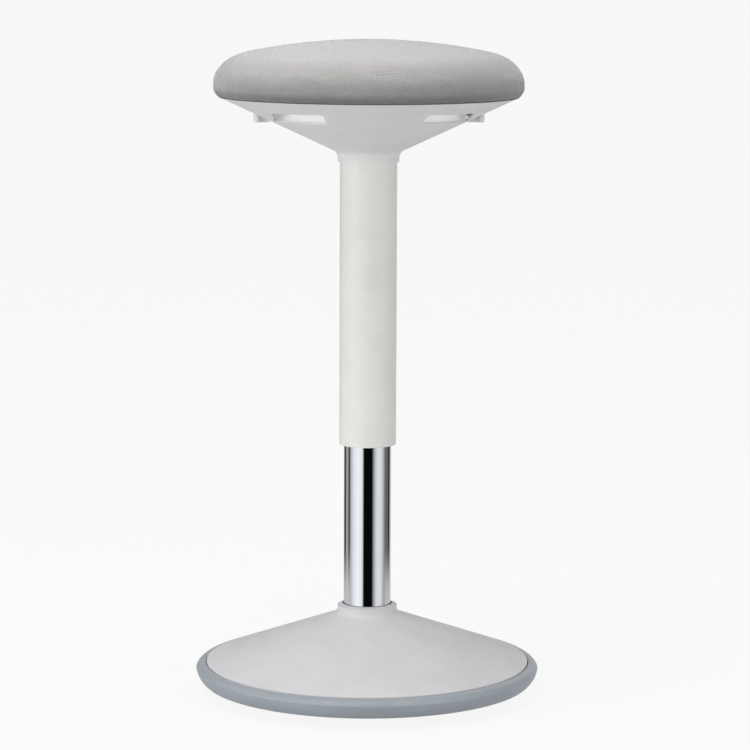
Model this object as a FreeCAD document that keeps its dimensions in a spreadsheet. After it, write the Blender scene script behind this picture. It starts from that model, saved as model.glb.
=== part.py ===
# Wobble stool: rocking base, gas-lift column, windowed seat shell with two release levers, and a round pad.
# Millimetres, +Z up. The origin is on the floor under the middle of the sole, and -Y is the front.
import FreeCAD, Part
import math
import os
import re
import Sketcher

SIZES = {
    # Sole, bumper ring and ballast
    "sole_flat_radius": (60, "flat middle of the sole"),
    "sole_crown_radius": (1068, "curve on which the stool rocks"),
    "ring_body": (22, "ring's widest line to the edge of the sole"),
    "sole_top": (16, "top of the sole above the floor"),
    "ring_radius": (182, "widest radius of the bumper ring"),
    "ring_foot_inset": (8.5, "ring's widest line to its lower edge"),
    "ring_lift": (12, "ring above the floor"),
    "ring_crease": (26.4, "height of the widest line of the ring"),
    "ring_top": (32.2, "top of the ring"),
    "ring_top_bulge": (10, "curve of the ring's upper band"),
    "ring_side_bulge": (21.5, "curve of the ring's side band"),
    "ring_gap": (1, "groove between base shell and ring"),
    "ring_ledge": (12, "width of the ledge that the base shell stands on"),
    "flange_overlap": (8, "how far the ballast plate reaches under the ring's flange"),
    "flange_thickness": (4, "thickness of the ring's inner flange"),
    "ballast_thickness": (8, "steel ballast plate"),
    # Base shell
    "base_rim_inset": (11, "ring's widest line to the rim of the base shell"),
    "base_rim_height": (33.6, "height of the rim's upper edge"),
    "cone_top": (85.9, "height where the cone's line meets the collar"),
    "base_wall": (3.2, "wall of the base shell, measured upright"),
    "collar_radius": (31.4, "outside of the collar round the column"),
    "collar_top": (98.7, "top of the collar"),
    "collar_lip": (5, "depth of the lip at the top of the collar"),
    "collar_root": (7, "fillet between collar and cone"),
    "base_rib_count": (12, "ribs under the base shell"),
    "base_rib_width": (2.4, "thickness of a base rib"),
    "base_boss_inset": (42, "edge of the sole to the circle of screw bosses"),
    "base_boss_radius": (6, "screw boss"),
    "base_screw_count": (6, "screws between ballast plate and base shell"),
    # Column and its socket
    "column_radius": (25, "chrome column"),
    "column_wall": (2, "wall of the column"),
    "column_length": (380, "length of the column tube"),
    "socket_wall": (4, "wall of the column socket"),
    "socket_depth": (64, "height of the socket above its flange"),
    "socket_flange_radius": (58, "flange of the socket"),
    "socket_flange_thickness": (4, "thickness of the socket's flange"),
    "socket_bolt_pitch": (45, "radius of the circle of socket bolts"),
    "bolt_radius": (3, "shank of the bolts"),
    "bolt_head_radius": (5, "head of the bolts"),
    "bolt_head_height": (4, "height of a bolt head"),
    "screw_radius": (2, "shank of the screws"),
    "screw_head_radius": (4, "head of the screws"),
    "screw_head_height": (3, "height of a screw head"),
    "screw_length": (22, "length of the base screws with their heads"),
    # Thrust bearing and piston rod
    "bearing_cup_height": (16, "height of the cup in the foot of the column"),
    "bearing_cup_wall": (4, "floor and wall of the cup"),
    "race_thickness": (1.5, "bearing washer"),
    "race_radius": (13, "outside of the bearing washers"),
    "ball_radius": (2, "bearing ball"),
    "ball_pitch": (9.5, "radius of the circle of balls"),
    "ball_count": (10, "balls in the cage"),
    "cage_thickness": (2.4, "ball cage"),
    "spindle_radius": (4, "turned-down foot of the rod"),
    "rod_radius": (5, "piston rod"),
    "clip_radius": (8, "retaining clip on the spindle"),
    "clip_thickness": (1.5, "retaining clip on the spindle"),
    "buffer_radius": (11.5, "rubber bump stop"),
    "buffer_height": (18, "rubber bump stop"),
    "piston_height": (340, "middle of the piston above the floor"),
    "piston_length": (14, "length of the piston"),
    "seal_radius": (1.4, "section of the piston seal"),
    # Gas cylinder, raised to the photographed height
    "cylinder_radius": (14, "outside of the gas cylinder"),
    "cylinder_bore": (12.5, "bore of the gas cylinder"),
    "cylinder_foot": (225, "lower end of the cylinder"),
    "cylinder_chamber_top": (560, "upper end of the gas chamber"),
    "cylinder_top": (612, "top of the cylinder's taper"),
    "taper_foot": (580, "where the taper starts"),
    "taper_loss": (0.8, "how much the taper's radius shrinks"),
    "gland_length": (20, "gland at the cylinder's lower end"),
    "valve_bore_depth": (18, "bore of the valve stem"),
    # Shroud tube
    "shroud_radius": (30, "outside of the shroud tube"),
    "shroud_wall": (1.5, "wall of the shroud tube"),
    "shroud_foot": (266.1, "lower end of the shroud tube"),
    "shroud_top": (600, "upper end of the shroud tube"),
    "glide_length": (24, "guide ring inside the shroud's foot"),
    "bush_length": (70, "bush in the mouth of the column"),
    "bush_flange": (3, "flange of the bush"),
    "spacer_length": (18, "ring between bracket hub and shroud tube"),
    # Seat shell
    "neck_radius": (32.2, "neck of the seat shell"),
    "neck_foot": (564.8, "lower edge of the neck"),
    "neck_line": (574.5, "height where the cone's line meets the neck"),
    "neck_root": (9, "fillet between neck and cone"),
    "sleeve_top": (592, "top of the inner sleeve"),
    "sleeve_wall": (3, "wall of the inner sleeve"),
    "seat_wall": (2.4, "wall of the seat shell, measured upright"),
    "seat_rim_inset": (7.9, "pad's widest line to the rim of the seat shell"),
    "seat_rim_band": (1.5, "upright band at the rim"),
    "seat_rib_count": (12, "gussets round the inner sleeve"),
    "seat_rib_width": (2, "thickness of a gusset"),
    "post_count": (6, "push-in posts that hold the shell to the board"),
    "post_inset": (13, "posts to the edge of the seat board"),
    "post_radius": (4, "foot of a post"),
    "post_tip_radius": (2.8, "tip of a post in the board"),
    "post_tip_length": (7, "how far a post goes into the board"),
    # Finger windows and lever notch
    "window_inner": (106, "inner edge of a finger window"),
    "window_outer": (129, "outer edge of a finger window"),
    "window_near_share": (0.453, "lower corner next to the middle, as a share of the inner edge's radius"),
    "window_slant_share": (0.41, "upper corner next to the middle, as a share of the outer edge's radius"),
    "window_far_share": (0.9387, "lower corner beside the lever, as a share of the inner edge's radius"),
    "window_end_share": (0.8, "upper corner beside the lever, as a share of the outer edge's radius"),
    "window_corner": (3, "corners of a finger window"),
    "window_tip": (1.2, "rounding of its narrow lower corner beside the lever"),
    "notch_inner": (102.4, "inner edge of the lever notch"),
    "notch_outer": (124, "outer edge of the lever notch"),
    "notch_width": (35, "width of the lever notch"),
    "notch_corner": (2.5, "corners of the lever notch"),
    # Seat bracket
    "bracket_length": (104, "length of the bracket from side to side"),
    "bracket_width": (150, "width of the bracket over its flanges"),
    "channel_width": (89, "outside width of the bracket's channel"),
    "bracket_sheet": (2.5, "steel sheet of the bracket"),
    "channel_floor": (603.5, "underside of the channel"),
    "hub_radius": (18, "hub of the bracket"),
    "seat_bolt_across": (74, "seat bolts from side to side"),
    "seat_bolt_along": (120, "seat bolts from front to back"),
    # Board, foam and cover
    "board_bottom": (634.2, "underside of the seat board"),
    "board_thickness": (12, "plywood seat board"),
    "board_inset": (11.8, "pad's widest line to the edge of the seat board"),
    "nut_depth": (10, "barrel of an insert nut"),
    "nut_radius": (4.2, "barrel of an insert nut"),
    "pad_waist": (10.07, "pad's widest line above its seam"),
    "pad_radius": (162.8, "widest radius of the pad"),
    "pad_crown": (620, "curve of the pad's top"),
    "pad_shoulder": (35, "curve of the pad's shoulder"),
    "pad_tuck": (11, "curve of the pad's side under its widest line"),
    "cover_thickness": (1.2, "fabric cover"),
    "hem_width": (8, "fabric turned under the board"),
    # Levers and valve
    "pivot_across": (34, "lever pivot from the middle"),
    "pivot_rise": (13.5, "lever pivots above the channel's floor"),
    "pin_radius": (3, "lever pivot pin"),
    "pin_head_radius": (4.6, "head of a pivot pin"),
    "lever_hub_radius": (6, "hub of a lever"),
    "lever_hub_length": (80, "length of a lever's hub"),
    "grip_radius": (101.7, "outside of a lever's grip wall"),
    "grip_wall": (3, "thickness of the grip wall"),
    "grip_below": (6.9, "lower edge of the grip wall below the pivots"),
    "grip_above": (5, "upper edge of the grip wall above the pivots"),
    "grip_reach": (73, "half the sweep of the grip wall, in degrees"),
    "arm_below": (5, "underside of the lever arms below the pivots"),
    "arm_thickness": (6, "height of the lever arms"),
    "arm_offset": (22, "lever arms from the middle line"),
    "arm_width": (8, "width of a lever arm"),
    "tab_radius": (119.8, "outer face of the lever's tab"),
    "tab_below": (10.7, "underside of the tab below the pivots"),
    "tab_height": (9.7, "height of the tab"),
    "tab_width": (32, "width of the tab"),
    "tab_depth": (5.2, "thickness of the tab"),
    "web_width": (22, "width of the web behind the tab"),
    "web_below": (4.4, "top of the web behind the tab, below the pivots"),
    "tongue_above": (0.2, "underside of the lever's tongue above the pivots"),
    "tongue_thickness": (2.6, "thickness of the lever's tongue"),
    "tongue_width": (6.4, "width of the lever's tongue"),
    "cap_radius": (13, "flanges of the valve cap"),
    "cap_flange": (1.5, "thickness of a flange of the valve cap"),
    "cap_neck_radius": (5, "neck between the flanges"),
    "cap_groove": (3.6, "groove that holds the tongues"),
    "stem_radius": (3, "valve stem"),
    "stem_length": (17, "valve stem under the cap"),
    # Clearances
    "running_fit": (0.06, "radial clearance of turning and sliding fits"),
    "close_fit": (0.05, "radial clearance of parts that stay together"),
    "drill_clearance": (0.3, "hole over bolt"),
    "soft_gap": (0.7, "foam to cover"),
}

doc = FreeCAD.newDocument("WobbleStool")
sheet = doc.addObject("Spreadsheet::Sheet", "Sizes")
for row, (alias, (value, meaning)) in enumerate(SIZES.items(), start=1):
    sheet.set(f"A{row}", meaning)
    sheet.set(f"B{row}", str(value))
    sheet.setAlias(f"B{row}", alias)
doc.recompute()

# Radii that follow from the ring's and the pad's widest lines, as formulas of the sheet's sizes
SOLE_RADIUS = "(ring_radius - ring_body)"
BASE_RIM = "(ring_radius - base_rim_inset)"
BOSS_PITCH = f"({SOLE_RADIUS} - base_boss_inset)"
SEAT_RIM = "(pad_radius - seat_rim_inset)"
BOARD_RADIUS = "(pad_radius - board_inset)"
POST_PITCH = f"({BOARD_RADIUS} - post_inset)"

# Heights that follow from the stack of parts
BALLAST_TOP = "(sole_top + ballast_thickness)"
LEDGE_HEIGHT = f"({BALLAST_TOP} + flange_thickness)"
FLANGE_INNER = f"({SOLE_RADIUS} - ring_ledge)"
BALLAST_RADIUS = f"({FLANGE_INNER} + flange_overlap)"
COLUMN_TOP = f"({BALLAST_TOP} + column_length)"
COLUMN_BORE = "(column_radius - column_wall)"
CUP_TOP = f"({BALLAST_TOP} + bearing_cup_height)"
CAGE_FLOOR = f"({CUP_TOP} + race_thickness)"
BALL_HEIGHT = f"({CAGE_FLOOR} + ball_radius)"
CAGE_CEILING = f"({BALL_HEIGHT} + ball_radius)"
ROD_SHOULDER = f"({CAGE_CEILING} + race_thickness)"
FLANGE_TOP = f"({BALLAST_TOP} + socket_flange_thickness)"
SHROUD_BORE = "(shroud_radius - shroud_wall)"
HEM_BOTTOM = "(board_bottom - cover_thickness)"
RIM_TOP = "(board_bottom - cover_thickness)"
SEAT_SLOPE = f"(({SEAT_RIM} - neck_radius)/({RIM_TOP} - seat_rim_band - neck_line))"
BRACKET_SEAT = "(board_bottom - bracket_sheet)"
SHOULDER_REACH = "((pad_radius - pad_shoulder)/(pad_crown - pad_shoulder))"
SHOULDER_HEIGHT = f"({HEM_BOTTOM} + pad_waist)"
CROWN_CENTRE = f"({SHOULDER_HEIGHT} - (pad_crown - pad_shoulder)*sqrt(1 - {SHOULDER_REACH}^2))"
PIVOT_HEIGHT = "(channel_floor + pivot_rise)"
GRIP_BOTTOM = f"({PIVOT_HEIGHT} - grip_below)"
ARM_BOTTOM = f"({PIVOT_HEIGHT} - arm_below)"
TAB_BOTTOM = f"({PIVOT_HEIGHT} - tab_below)"
WEB_TOP = f"({PIVOT_HEIGHT} - web_below)"
TONGUE_BOTTOM = f"({PIVOT_HEIGHT} + tongue_above)"
CAP_BOTTOM = f"({TONGUE_BOTTOM} + tongue_thickness/2 - cap_groove/2 - cap_flange)"


def linked(formula):
    """Point each size named in a formula at its cell."""
    return re.sub(r"[a-z]\w*", lambda word: f"Sizes.{word[0]}" if word[0] in SIZES else word[0], formula)


def number(formula):
    """The value of a formula as the sheet stands."""
    found = sheet.evalExpression(linked(formula))
    return float(getattr(found, "Value", found))


def base_line(radius):
    """Height of the base cone's outer surface at a radius."""
    share = f"({BASE_RIM} - ({radius}))/({BASE_RIM} - collar_radius)"
    return f"(base_rim_height + {share}*(cone_top - base_rim_height))"


def seat_line(radius):
    """Height of the seat cone's outer surface at a radius."""
    return f"(neck_line + (({radius}) - neck_radius)/{SEAT_SLOPE})"


def sole_line(radius):
    """Height of the rocking curve at a radius, the flat middle being a cut across it."""
    return f"(sqrt(sole_crown_radius^2 - sole_flat_radius^2) - sqrt(sole_crown_radius^2 - ({radius})^2))"


def new_body(name):
    """A body that becomes one node."""
    body = doc.addObject("PartDesign::Body", name)
    body.Label = name
    return body


def origin_part(body, role):
    """One of the body's own origin planes or axes."""
    return next(part for part in body.Origin.OriginFeatures if part.Role == role)


def hold(sketch, edge, end, across, up):
    """Hold one end of an edge at two named sizes."""
    for kind, formula in (("DistanceX", across), ("DistanceY", up)):
        if formula == "0":
            axis = -2 if kind == "DistanceX" else -1
            sketch.addConstraint(Sketcher.Constraint("PointOnObject", edge, end, axis))
            continue
        index = sketch.addConstraint(Sketcher.Constraint(kind, -1, 1, edge, end, number(formula)))
        sketch.setExpression(f"Constraints[{index}]", linked(formula))


def bulged_arc(start, end, radius, side):
    """An arc of a radius between two points, bulging to the right (+1) or left (-1) of its way."""
    chord = end - start
    half = chord.Length / 2
    across = FreeCAD.Vector(chord.y, -chord.x, 0).normalize()
    centre = (start + end) / 2 - across * side * math.sqrt(radius**2 - half**2)
    first, last = (start, end) if side > 0 else (end, start)
    angles = [math.atan2(point.y - centre.y, point.x - centre.x) for point in (first, last)]
    return Part.ArcOfCircle(Part.Circle(centre, FreeCAD.Vector(0, 0, 1), radius), *angles)


def draw(sketch, corners):
    """Draw a closed outline. A corner is (across, up), with (radius, side) added where an arc follows."""
    points = [FreeCAD.Vector(number(corner[0]), number(corner[1]), 0) for corner in corners]
    ends = []
    first = sketch.GeometryCount
    for index, corner in enumerate(corners):
        start, end = points[index], points[(index + 1) % len(points)]
        if len(corner) == 2:
            sketch.addGeometry(Part.LineSegment(start, end), False)
            ends.append((1, 2))
            continue
        edge = sketch.addGeometry(bulged_arc(start, end, number(corner[2]), corner[3]), False)
        ends.append((1, 2) if corner[3] > 0 else (2, 1))
        radius = sketch.addConstraint(Sketcher.Constraint("Radius", edge, number(corner[2])))
        sketch.setExpression(f"Constraints[{radius}]", linked(corner[2]))
    for index, corner in enumerate(corners):
        edge = first + index
        following = first + (index + 1) % len(corners)
        joint = (edge, ends[index][1], following, ends[following - first][0])
        sketch.addConstraint(Sketcher.Constraint("Coincident", *joint))
        hold(sketch, edge, ends[index][0], corner[0], corner[1])


def new_sketch(body, name, plane, height=None):
    """A sketch on one of the body's own planes, raised by a formula where one is given."""
    sketch = body.newObject("Sketcher::SketchObject", name)
    sketch.AttachmentSupport = [(origin_part(body, plane), "")]
    sketch.MapMode = "FlatFace"
    if height:
        sketch.setExpression("AttachmentOffset.Base.z", linked(height))
    return sketch


def section(body, name, corners):
    """An upright section: across is the radius or X, up is the height."""
    sketch = new_sketch(body, name, "XZ_Plane")
    draw(sketch, corners)
    return sketch


def plan(body, name, corners, height="0"):
    """A flat outline at a height, seen from above."""
    sketch = new_sketch(body, name, "XY_Plane", None if height == "0" else height)
    draw(sketch, corners)
    return sketch


def circles(body, name, plane, rounds, height=None):
    """Whole circles in one sketch, each (across, up, radius)."""
    sketch = new_sketch(body, name, plane, height)
    for across, up, radius in rounds:
        centre = FreeCAD.Vector(number(across), number(up), 0)
        edge = sketch.addGeometry(Part.Circle(centre, FreeCAD.Vector(0, 0, 1), number(radius)), False)
        size = sketch.addConstraint(Sketcher.Constraint("Radius", edge, number(radius)))
        sketch.setExpression(f"Constraints[{size}]", linked(radius))
        hold(sketch, edge, 3, across, up)
    return sketch


def turn(body, name, sketch, cut=False, axis="V_Axis"):
    """Turn a section into a solid, or cut with it."""
    feature = body.newObject("PartDesign::Groove" if cut else "PartDesign::Revolution", name)
    feature.Profile = (sketch, [""])
    feature.ReferenceAxis = (sketch, [axis])
    feature.Angle = 360
    doc.recompute()
    return feature


def raise_up(body, name, sketch, length, both_ways=False):
    """Pad a sketch by a formula, upwards or to both sides."""
    feature = body.newObject("PartDesign::Pad", name)
    feature.Profile = (sketch, [""])
    feature.setExpression("Length", linked(length))
    feature.Midplane = both_ways
    doc.recompute()
    return feature


def cut_through(body, name, sketch):
    """Cut a sketch's outline right through the body, to both sides."""
    before = body.Shape.Volume
    feature = body.newObject("PartDesign::Pocket", name)
    feature.Profile = (sketch, [""])
    feature.Type = 1
    feature.Midplane = True
    doc.recompute()
    if feature.Shape.Volume >= before:
        raise RuntimeError(f"{name} cuts nothing")
    return feature


def around(body, name, feature, count):
    """Repeat a feature evenly round the vertical axis."""
    pattern = body.newObject("PartDesign::PolarPattern", name)
    pattern.Originals = [feature]
    pattern.Axis = (origin_part(body, "Z_Axis"), [""])
    pattern.Angle = 360
    if isinstance(count, int):
        pattern.Occurrences = count
    else:
        pattern.setExpression("Occurrences", linked(count))
    body.Tip = pattern
    doc.recompute()
    return pattern


def round_edges(body, name, feature, radius, chosen):
    """Fillet the edges of a feature that a test picks."""
    edges = [f"Edge{i}" for i, edge in enumerate(feature.Shape.Edges, start=1) if chosen(edge)]
    if not edges:
        raise RuntimeError(f"{name} finds no edge")
    fillet = body.newObject("PartDesign::Fillet", name)
    fillet.Base = (feature, edges)
    fillet.setExpression("Radius", linked(radius))
    doc.recompute()
    return fillet


def hoop_at(radius, height):
    """Test for a full circle round the vertical axis with a radius and height."""
    wanted_radius, wanted_height = number(radius), number(height)

    def test(edge):
        curve = edge.Curve
        if not isinstance(curve, Part.Circle) or abs(curve.Radius - wanted_radius) > 0.01:
            return False
        off_axis = math.hypot(curve.Center.x, curve.Center.y)
        return abs(curve.Center.z - wanted_height) < 0.01 and off_axis < 0.01

    return test


def upright_at(places):
    """Test for upright edges that stand on one of several places in plan."""
    spots = [(number(across), number(up)) for across, up in places]

    def test(edge):
        ends = edge.Vertexes
        if len(ends) != 2 or math.hypot(ends[0].X - ends[1].X, ends[0].Y - ends[1].Y) > 0.01:
            return False
        return any(math.hypot(ends[0].X - x, ends[0].Y - y) < 0.05 for x, y in spots)

    return test


def tube(name, inner, outer, bottom, top):
    """A plain tube or washer between two heights."""
    body = new_body(name)
    turn(body, f"{name}_turned", section(body, f"{name}_section",
         [(inner, bottom), (outer, bottom), (outer, top), (inner, top)]))
    return body


def fastener(name, pitch, count, corners):
    """Turned fasteners on a circle. Across is measured from the fastener's own axis."""
    body = new_body(name)
    moved = [(f"({pitch}) + ({across})", up) for across, up in corners]
    sketch = section(body, f"{name}_section", moved)
    reach = number(pitch)
    line = Part.LineSegment(FreeCAD.Vector(reach, 0, 0), FreeCAD.Vector(reach, reach, 0))
    axis = sketch.addGeometry(line, True)
    sketch.addConstraint(Sketcher.Constraint("Vertical", axis))
    hold(sketch, axis, 1, pitch, "0")
    turned = turn(body, f"{name}_turned", sketch, axis="Axis0")
    around(body, f"{name}_circle", turned, count)
    return body


# Sole and bumper ring
rubber_sole = new_body("rubber_sole")
turn(rubber_sole, "sole_turned", section(rubber_sole, "sole_section", [
    ("0", "0"),
    ("sole_flat_radius", "0", "sole_crown_radius", 1),
    (f"{SOLE_RADIUS} - close_fit", sole_line(f"{SOLE_RADIUS} - close_fit")),
    (f"{SOLE_RADIUS} - close_fit", "sole_top"),
    ("0", "sole_top"),
]))

base_ring = new_body("base_ring")
turn(base_ring, "ring_turned", section(base_ring, "ring_section", [
    (SOLE_RADIUS, "ring_lift"),
    ("ring_radius - ring_foot_inset", "ring_lift", "ring_side_bulge", 1),
    ("ring_radius", "ring_crease", "ring_top_bulge", 1),
    (f"{BASE_RIM} + ring_gap", "ring_top"),
    (f"{BASE_RIM} + ring_gap", LEDGE_HEIGHT),
    (FLANGE_INNER, LEDGE_HEIGHT),
    (FLANGE_INNER, BALLAST_TOP),
    (SOLE_RADIUS, BALLAST_TOP),
]))

# Ballast plate, drilled for the screws from below and tapped for the socket's bolts
ballast_plate = tube("ballast_plate", "spindle_radius * 2", BALLAST_RADIUS, "sole_top", BALLAST_TOP)
screw_hole = circles(ballast_plate, "screw_hole", "XY_Plane",
                     [(BOSS_PITCH, "0", "screw_radius + drill_clearance")])
screw_hole_cut = cut_through(ballast_plate, "screw_hole_cut", screw_hole)
around(ballast_plate, "screw_holes", screw_hole_cut, "base_screw_count")
counterbore = section(ballast_plate, "counterbore_section", [
    (BOSS_PITCH, "sole_top"),
    (f"{BOSS_PITCH} + screw_head_radius + drill_clearance", "sole_top"),
    (f"{BOSS_PITCH} + screw_head_radius + drill_clearance", "sole_top + screw_head_height"),
    (BOSS_PITCH, "sole_top + screw_head_height"),
])
counterbore_cut = turn(ballast_plate, "counterbore", counterbore, cut=True, axis="Edge4")
around(ballast_plate, "counterbores", counterbore_cut, "base_screw_count")
bolt_hole = circles(ballast_plate, "bolt_hole", "XY_Plane",
                    [("socket_bolt_pitch", "0", "bolt_radius + close_fit")])
bolt_hole_cut = cut_through(ballast_plate, "bolt_hole_cut", bolt_hole)
around(ballast_plate, "bolt_holes", bolt_hole_cut, "base_screw_count")

# Base shell: cone, collar, ribs and screw bosses
base_shell = new_body("base_shell")
shell_turned = turn(base_shell, "base_shell_turned", section(base_shell, "base_shell_section", [
    (BASE_RIM, LEDGE_HEIGHT),
    (BASE_RIM, "base_rim_height"),
    ("collar_radius", base_line("collar_radius")),
    ("collar_radius", "collar_top"),
    ("column_radius + 0.6", "collar_top"),
    ("column_radius + 0.6", "collar_top - collar_lip"),
    ("column_radius + socket_wall + drill_clearance", "collar_top - collar_lip"),
    ("column_radius + socket_wall + drill_clearance",
     base_line("column_radius + socket_wall + drill_clearance") + " - base_wall"),
    (f"{BASE_RIM} - base_wall", base_line(f"{BASE_RIM} - base_wall") + " - base_wall"),
    (f"{BASE_RIM} - base_wall", LEDGE_HEIGHT),
]))
rib = section(base_shell, "base_rib_section", [
    ("collar_radius", base_line("collar_radius") + " - base_wall/2"),
    (f"{BASE_RIM} - base_wall/2", base_line(f"{BASE_RIM} - base_wall/2") + " - base_wall/2"),
    (f"{BASE_RIM} - base_wall/2", LEDGE_HEIGHT),
    (f"{BASE_RIM} - base_wall*2", LEDGE_HEIGHT),
    ("collar_radius", base_line("collar_radius") + " - base_wall*5"),
])
base_rib = raise_up(base_shell, "base_rib", rib, "base_rib_width", both_ways=True)
around(base_shell, "base_ribs", base_rib, "base_rib_count")
boss = section(base_shell, "boss_section", [
    (BOSS_PITCH, BALLAST_TOP),
    (f"{BOSS_PITCH} + base_boss_radius", BALLAST_TOP),
    (f"{BOSS_PITCH} + base_boss_radius", base_line(f"{BOSS_PITCH} + base_boss_radius") + " - base_wall/2"),
    (BOSS_PITCH, base_line(f"{BOSS_PITCH} + base_boss_radius") + " - base_wall/2"),
])
base_boss = turn(base_shell, "base_boss", boss, axis="Edge4")
around(base_shell, "base_bosses", base_boss, "base_screw_count")
pilot = section(base_shell, "pilot_section", [
    (BOSS_PITCH, BALLAST_TOP),
    (f"{BOSS_PITCH} + screw_radius + close_fit", BALLAST_TOP),
    (f"{BOSS_PITCH} + screw_radius + close_fit", "sole_top + screw_length + 1"),
    (BOSS_PITCH, "sole_top + screw_length + 1"),
])
pilot_cut = turn(base_shell, "pilot_hole", pilot, cut=True, axis="Edge4")
bored_shell = around(base_shell, "pilot_holes", pilot_cut, "base_screw_count")
rooted_shell = round_edges(base_shell, "collar_root_fillet", bored_shell, "collar_root",
                           hoop_at("collar_radius", base_line("collar_radius")))
lipped_shell = round_edges(base_shell, "collar_lip_round", rooted_shell,
                           "(collar_radius - column_radius)/2.4", hoop_at("collar_radius", "collar_top"))
round_edges(base_shell, "base_rim_round", lipped_shell, "base_wall/4", hoop_at(BASE_RIM, "base_rim_height"))

base_screws = fastener("base_screws", BOSS_PITCH, "base_screw_count", [
    ("0", "sole_top"),
    ("screw_head_radius", "sole_top"),
    ("screw_head_radius", "sole_top + screw_head_height"),
    ("screw_radius", "sole_top + screw_head_height"),
    ("screw_radius", "sole_top + screw_length - 2"),
    ("0", "sole_top + screw_length"),
])

# Column socket, welded tube and flange, bolted to the ballast plate
column_socket = new_body("column_socket")
socket_turned = turn(column_socket, "socket_turned", section(column_socket, "socket_section", [
    ("column_radius + close_fit", BALLAST_TOP),
    ("socket_flange_radius", BALLAST_TOP),
    ("socket_flange_radius", FLANGE_TOP),
    ("column_radius + socket_wall", FLANGE_TOP),
    ("column_radius + socket_wall", FLANGE_TOP + " + socket_depth"),
    ("column_radius + close_fit", FLANGE_TOP + " + socket_depth"),
]))
weld = round_edges(column_socket, "socket_weld", socket_turned, "socket_wall",
                   hoop_at("column_radius + socket_wall", FLANGE_TOP))
socket_hole = circles(column_socket, "socket_hole", "XY_Plane",
                      [("socket_bolt_pitch", "0", "bolt_radius + drill_clearance")])
socket_hole_cut = cut_through(column_socket, "socket_hole_cut", socket_hole)
around(column_socket, "socket_holes", socket_hole_cut, "base_screw_count")

socket_bolts = fastener("socket_bolts", "socket_bolt_pitch", "base_screw_count", [
    ("0", "sole_top + 1"),
    ("bolt_radius", "sole_top + 1"),
    ("bolt_radius", FLANGE_TOP),
    ("bolt_head_radius", FLANGE_TOP),
    ("bolt_head_radius", FLANGE_TOP + " + bolt_head_height"),
    ("0", FLANGE_TOP + " + bolt_head_height"),
])

# Column with its bush, and the cup and bearing at its foot
column_tube = new_body("column_tube")
turn(column_tube, "column_turned", section(column_tube, "column_section", [
    (COLUMN_BORE, BALLAST_TOP),
    ("column_radius", BALLAST_TOP),
    ("column_radius", COLUMN_TOP),
    (COLUMN_BORE, COLUMN_TOP),
]))
guide_bush = new_body("guide_bush")
turn(guide_bush, "bush_turned", section(guide_bush, "bush_section", [
    ("cylinder_radius + running_fit", COLUMN_TOP + " - bush_length"),
    (f"{COLUMN_BORE} - close_fit", COLUMN_TOP + " - bush_length"),
    (f"{COLUMN_BORE} - close_fit", COLUMN_TOP),
    ("column_radius - close_fit", COLUMN_TOP),
    ("column_radius - bush_flange", COLUMN_TOP + " + bush_flange"),
    ("cylinder_radius + running_fit", COLUMN_TOP + " + bush_flange"),
]))
bearing_seat = new_body("bearing_seat")
turn(bearing_seat, "cup_turned", section(bearing_seat, "cup_section", [
    (f"{COLUMN_BORE} - bearing_cup_wall", BALLAST_TOP),
    (f"{COLUMN_BORE} - close_fit", BALLAST_TOP),
    (f"{COLUMN_BORE} - close_fit", CUP_TOP),
    ("spindle_radius + running_fit", CUP_TOP),
    ("spindle_radius + running_fit", CUP_TOP + " - bearing_cup_wall"),
    (f"{COLUMN_BORE} - bearing_cup_wall", CUP_TOP + " - bearing_cup_wall"),
]))
lower_race = tube("lower_race", "spindle_radius + 1", "race_radius", CUP_TOP, CAGE_FLOOR)
upper_race = tube("upper_race", "spindle_radius + close_fit", "race_radius", CAGE_CEILING, ROD_SHOULDER)

ball_cage = tube("ball_cage", "ball_pitch - ball_radius*1.6", "ball_pitch + ball_radius*1.6",
                 f"{BALL_HEIGHT} - cage_thickness/2", f"{BALL_HEIGHT} + cage_thickness/2")
pocket = circles(ball_cage, "ball_pocket", "XY_Plane", [("ball_pitch", "0", "ball_radius + close_fit")])
around(ball_cage, "ball_pockets", cut_through(ball_cage, "ball_pocket_cut", pocket), "ball_count")

bearing_balls = doc.addObject("Part::Feature", "bearing_balls")
ball = Part.makeSphere(number("ball_radius"), FreeCAD.Vector(number("ball_pitch"), 0, number(BALL_HEIGHT)))
balls = []
for index in range(int(number("ball_count"))):
    copy = ball.copy()
    copy.rotate(FreeCAD.Vector(0, 0, 0), FreeCAD.Vector(0, 0, 1), 360 * index / number("ball_count"))
    balls.append(copy)
bearing_balls.Shape = Part.makeCompound(balls)

# Piston rod with clip, bump stop, piston and seal
piston_rod = new_body("piston_rod")
turn(piston_rod, "rod_turned", section(piston_rod, "rod_section", [
    ("0", f"{CUP_TOP} - bearing_cup_wall - clip_thickness*3"),
    ("spindle_radius - 0.5", f"{CUP_TOP} - bearing_cup_wall - clip_thickness*3"),
    ("spindle_radius", f"{CUP_TOP} - bearing_cup_wall - clip_thickness*3 + 0.5"),
    ("spindle_radius", ROD_SHOULDER),
    ("rod_radius", ROD_SHOULDER),
    ("rod_radius", "piston_height - piston_length/2"),
    ("spindle_radius", "piston_height - piston_length/2"),
    ("spindle_radius", "piston_height + piston_length/2 + 2"),
    ("0", "piston_height + piston_length/2 + 2"),
]))
rod_clip = tube("rod_clip", "spindle_radius + close_fit", "clip_radius",
                f"{CUP_TOP} - bearing_cup_wall - clip_thickness", f"{CUP_TOP} - bearing_cup_wall")
bump_stop = new_body("bump_stop")
turn(bump_stop, "bump_stop_turned", section(bump_stop, "bump_stop_section", [
    ("rod_radius + close_fit", ROD_SHOULDER),
    ("buffer_radius", ROD_SHOULDER),
    ("buffer_radius - 2", ROD_SHOULDER + " + buffer_height"),
    ("rod_radius + close_fit", ROD_SHOULDER + " + buffer_height"),
]))
piston = new_body("piston")
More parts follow.
